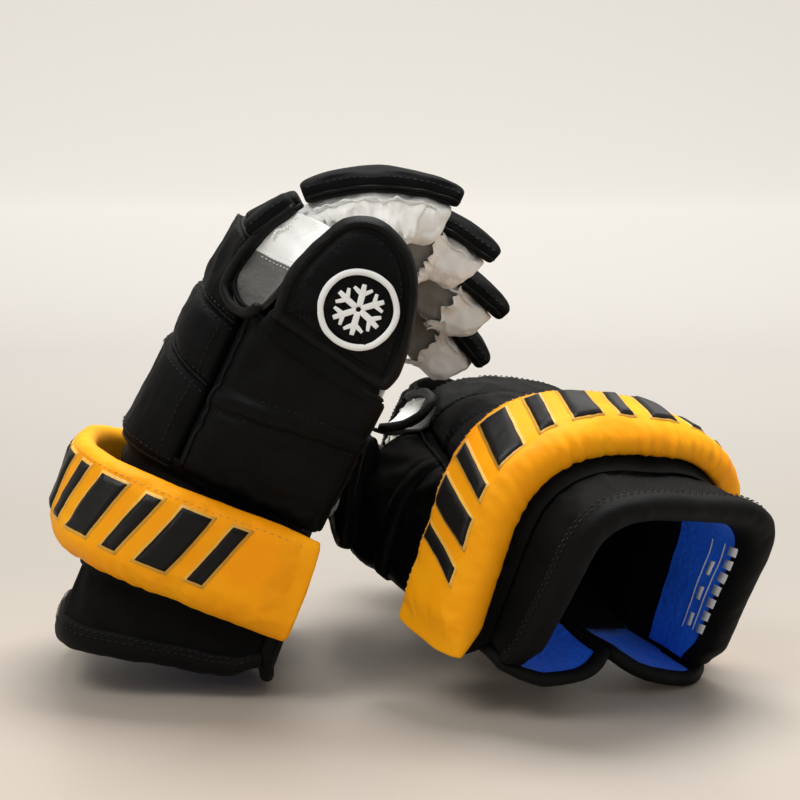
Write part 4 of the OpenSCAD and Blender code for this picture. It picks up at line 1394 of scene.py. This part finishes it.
# flaps of the palm side, which meet at a slit
for sg, nm in ((-1, "thumb"), (1, "little")):
    nu, nv = 34, 26
    up, dn = np.zeros((nu, nv, 3)), np.zeros((nu, nv, 3))
    for i, a in enumerate(np.linspace(0, 1, nu)):
        for j, b in enumerate(np.linspace(0, 1, nv)):
            # both corners are round, that by the slit and the outer one
            y0 = MOUTH_Y - 1 + 15 * max(0, (0.45 - a) / 0.45) ** 2.2 + 2.5 * math.cos(a * math.pi / 2)
            y0 += 20 * max(0, (a - 0.68) / 0.32) ** 1.7
            y = mix(y0, SHELL_FRONT, b)
            t = (y - MOUTH_Y) / (SHELL_FRONT - MOUTH_Y)
            x = mix(3.4, 65, a)
            z = float(np.interp(x, [3, 14, 22, 34, 44, 56, 66],
                                [-48, -53.2, -55.6, -57.4, -57.8, -56.8, -54.2])) + 8 * t
            z -= 1.0 * math.sin(math.pi * a) * math.sin(math.pi * min(1, b * 1.5))
            z += 0.35 * float(noise1(a * 5 + b * 3, 80 + sg))
            th = 4.3 - edge_drop(min(a * 62 + 2, b * 80 + 2), 5, 1.4)
            x *= mix(1, 0.92, max(0, t))
            yy = cuff_y(y, z)
            dn[i, j] = [sg * x, yy, z]
            up[i, j] = [sg * x, yy, z + max(1.2, th)]
    flap = slab(up, dn, 0, 1) if sg < 0 else slab(up[::-1], dn[::-1], 0, 1)
    # blue inside, except for its outer edge
    p = flap.points()
    flap.m = [1 if k or abs(p[list(q), 0].mean()) > 51 else 0 for q, k in zip(flap.f, flap.m)]
    spawn("flap_" + nm, flap, ["blue", "cuff"], "cuff", False, ["cuff_flaps"] if sg > 0 else (), levels=1)
    deco = Shape()
    mid = (up + dn) / 2
    side_edge = mid[-1, ::-1] + np.array([0, 0, 1.6])
    line = rounded(np.vstack([side_edge, mid[-2::-1, 0], mid[0, 1:20]]), 3)
    line = even(line, 130)
    size = np.interp(np.arange(130), [0, 40, 58, 100, 112, 129], [2.6, 3.2, 4.2, 4.2, 3.4, 2.4])
    tube(deco, line, size, 0, n=12, flat=0.9)
    spawn("flap_edge_" + nm, deco, ["binding"], "cuff", False)

# ---------------------------------------------------------------- wrist roll
spawn("wrist_roll", ROLL, ["gold"], "cuff_roll", False, ["wrist_roll"], levels=1)
face = outer_face((ROLL, (ROLL_N, FACE_N + UNDER_N)))[:, 1:27]
surf = facing(face, 2, 1)
arc = lengths(face[:, 12])


def band(shape, u0, u1, v0, v1, slant, lift, mat, thick=1.4, nu=6, nv=14, grow=0.0):
    """A slanted bar sewn on the roll: u in millimetres round it, v across its face."""
    vs = np.linspace(v0 - grow / 50, v1 + grow / 50, nv)
    top, bottom = np.zeros((nu, nv, 3)), np.zeros((nu, nv, 3))
    for i, a in enumerate(np.linspace(0, 1, nu)):
        for j, v in enumerate(vs):
            u = mix(u0 - grow, u1 + grow, a) + slant * (v - 0.5)
            turned = np.interp(u, arc, np.linspace(0, 1, len(arc)))
            edge = min(min(a, 1 - a) * (u1 - u0), min(j, nv - 1 - j) * 2.5) + 0.6
            up = lift + thick * (1 - (1 - min(1, edge / 3)) ** 2)
            top[i, j], bottom[i, j] = surf.at(turned, v, up)[0], surf.at(turned, v, -0.6)[0]
    q = slab(top, bottom)
    if np.dot(np.cross(top[1, 0] - top[0, 0], top[0, 1] - top[0, 0]), top[0, 0] - bottom[0, 0]) < 0:
        q.f = flipped(q.f)
    shape.add(q.points(), q.f, mat)


BARS, PITCH = 13, 24.0
for side, lean in (("right", 20), ("left", -20)):
    badge = Shape()
    for k in range(BARS):
        u = arc[-1] / 2 + (k - (BARS - 1) / 2) * PITCH
        w = 16.5 if k % 2 else 8.5
        band(badge, u - w / 2, u + w / 2, 0.15, 0.80, lean, 0.15, 1, thick=0.55, grow=1.6)
        band(badge, u - w / 2, u + w / 2, 0.15, 0.80, lean, 0.3, 0, thick=1.6, nu=8)
    spawn("roll_badge", badge, ["bars", "goldline"], "cuff_roll", False, ["roll_badge"], sides=(side,))
deco = Shape()
stitches(deco, *surf.at(np.linspace(0.02, 0.98, 200), 0.08), 0, 2.4, 1.6, 0.34, 0.05)
spawn("roll_stitches", deco, ["goldline"], "cuff_roll", False)

# ---------------------------------------------------------------- stage, light, camera
# A backdrop that is flat up to FLAT_TO, then bends up and stands
bpy.ops.mesh.primitive_plane_add(size=1)
floor = bpy.context.object
floor.name = "floor"
me = floor.data
FLAT_TO, BEND = 2.2, 1.6
rows = []
for a in np.arange(40) / 39:
    angle = max(0, (a - 0.55) / 0.45) * math.pi / 2
    y = mix(-3.0, FLAT_TO, min(1, a / 0.55))
    rows.append((y + BEND * math.sin(angle), BEND * (1 - math.cos(angle))))
rows.append((FLAT_TO + BEND, 6.0))
verts = [(x, y, z - 0.0004) for y, z in rows for x in (-6, 6)]
me.clear_geometry()
me.from_pydata(verts, [], [(2 * k, 2 * k + 1, 2 * k + 3, 2 * k + 2) for k in range(len(rows) - 1)])
me.polygons.foreach_set("use_smooth", np.ones(len(me.polygons), bool))
painted_shade_backdrop = bpy.data.materials.new("backdrop")
painted_shade_backdrop.use_nodes = True
b = painted_shade_backdrop.node_tree.nodes["Principled BSDF"]
b.inputs["Roughness"].default_value = 0.4
b.inputs["Specular IOR Level"].default_value = 0.25
tc = painted_shade_backdrop.node_tree.nodes.new("ShaderNodeTexCoord")
sep = painted_shade_backdrop.node_tree.nodes.new("ShaderNodeSeparateXYZ")
far = painted_shade_backdrop.node_tree.nodes.new("ShaderNodeMapRange")
far.inputs["From Min"].default_value, far.inputs["From Max"].default_value = -0.6, 2.0
# the colour runs with depth Y and paints light and shade: darker over the floor, darkest in painted shade
# just behind the gloves at about 0.2 to 0.35 m, and lighter up the wall where the light falls
ramp = painted_shade_backdrop.node_tree.nodes.new("ShaderNodeValToRGB")
ramp.color_ramp.elements[0].color = (0.445, 0.395, 0.338, 1)
ramp.color_ramp.elements[1].color = (0.93, 0.905, 0.86, 1)
for at, c in ((0.2, (0.445, 0.398, 0.345)), (0.3, (0.375, 0.343, 0.303)),
              (0.36, (0.365, 0.337, 0.303)), (0.45, (0.392, 0.367, 0.335)), (0.6, (0.47, 0.449, 0.421))):
    ramp.color_ramp.elements.new(at).color = (*c, 1)
painted_shade_backdrop.node_tree.links.new(tc.outputs["Object"], sep.inputs[0])
painted_shade_backdrop.node_tree.links.new(sep.outputs["Y"], far.inputs["Value"])
painted_shade_backdrop.node_tree.links.new(far.outputs[0], ramp.inputs["Fac"])
painted_shade_backdrop.node_tree.links.new(ramp.outputs["Color"], b.inputs["Base Color"])
me.materials.append(painted_shade_backdrop)


def area(name, at, target, size, power, colour=(1, 1, 1)):
    l = bpy.data.lights.new(name, "AREA")
    l.shape = "RECTANGLE"
    l.size, l.size_y = size
    l.energy = power
    l.color = colour
    o = bpy.data.objects.new(name, l)
    o.location = at
    o.rotation_euler = (Vector(target) - Vector(at)).to_track_quat("-Z", "Y").to_euler()
    scene.collection.objects.link(o)


area("key", (-1.0, -1.0, 1.9), (0, 0, 0.12), (0.9, 0.9), 19, (1, 0.985, 0.96))
area("fill", (1.8, -1.6, 0.9), (0, 0, 0.12), (1.4, 1.2), 4.5, (1, 0.99, 0.97))
area("top", (0.2, 0.5, 1.6), (0, 0.0, 0.1), (1.0, 0.8), 36)
area("wall", (0, 1.9, 2.6), (0, 3.4, 0.3), (3.0, 1.0), 17, (1, 0.99, 0.97))
world = bpy.data.worlds.new("studio")
world.use_nodes = True
world.node_tree.nodes["Background"].inputs[0].default_value = (1.0, 0.975, 0.94, 1)
world.node_tree.nodes["Background"].inputs[1].default_value = 0.5
scene.world = world
scene.view_settings.view_transform = "Standard"

cam = bpy.data.cameras.new("camera")
cam.lens = 123.75
cam.sensor_width = 36
cam.clip_start, cam.clip_end = 0.05, 30
co = bpy.data.objects.new("camera", cam)
target = Vector((0, 0, 110)) + Vector(GROUND)
el = math.radians(11)
co.location = (target + 1500 * Vector((0, -math.cos(el), math.sin(el)))) / MM
co.rotation_euler = (target / MM - co.location).to_track_quat("-Z", "Y").to_euler()
scene.collection.objects.link(co)
scene.camera = co
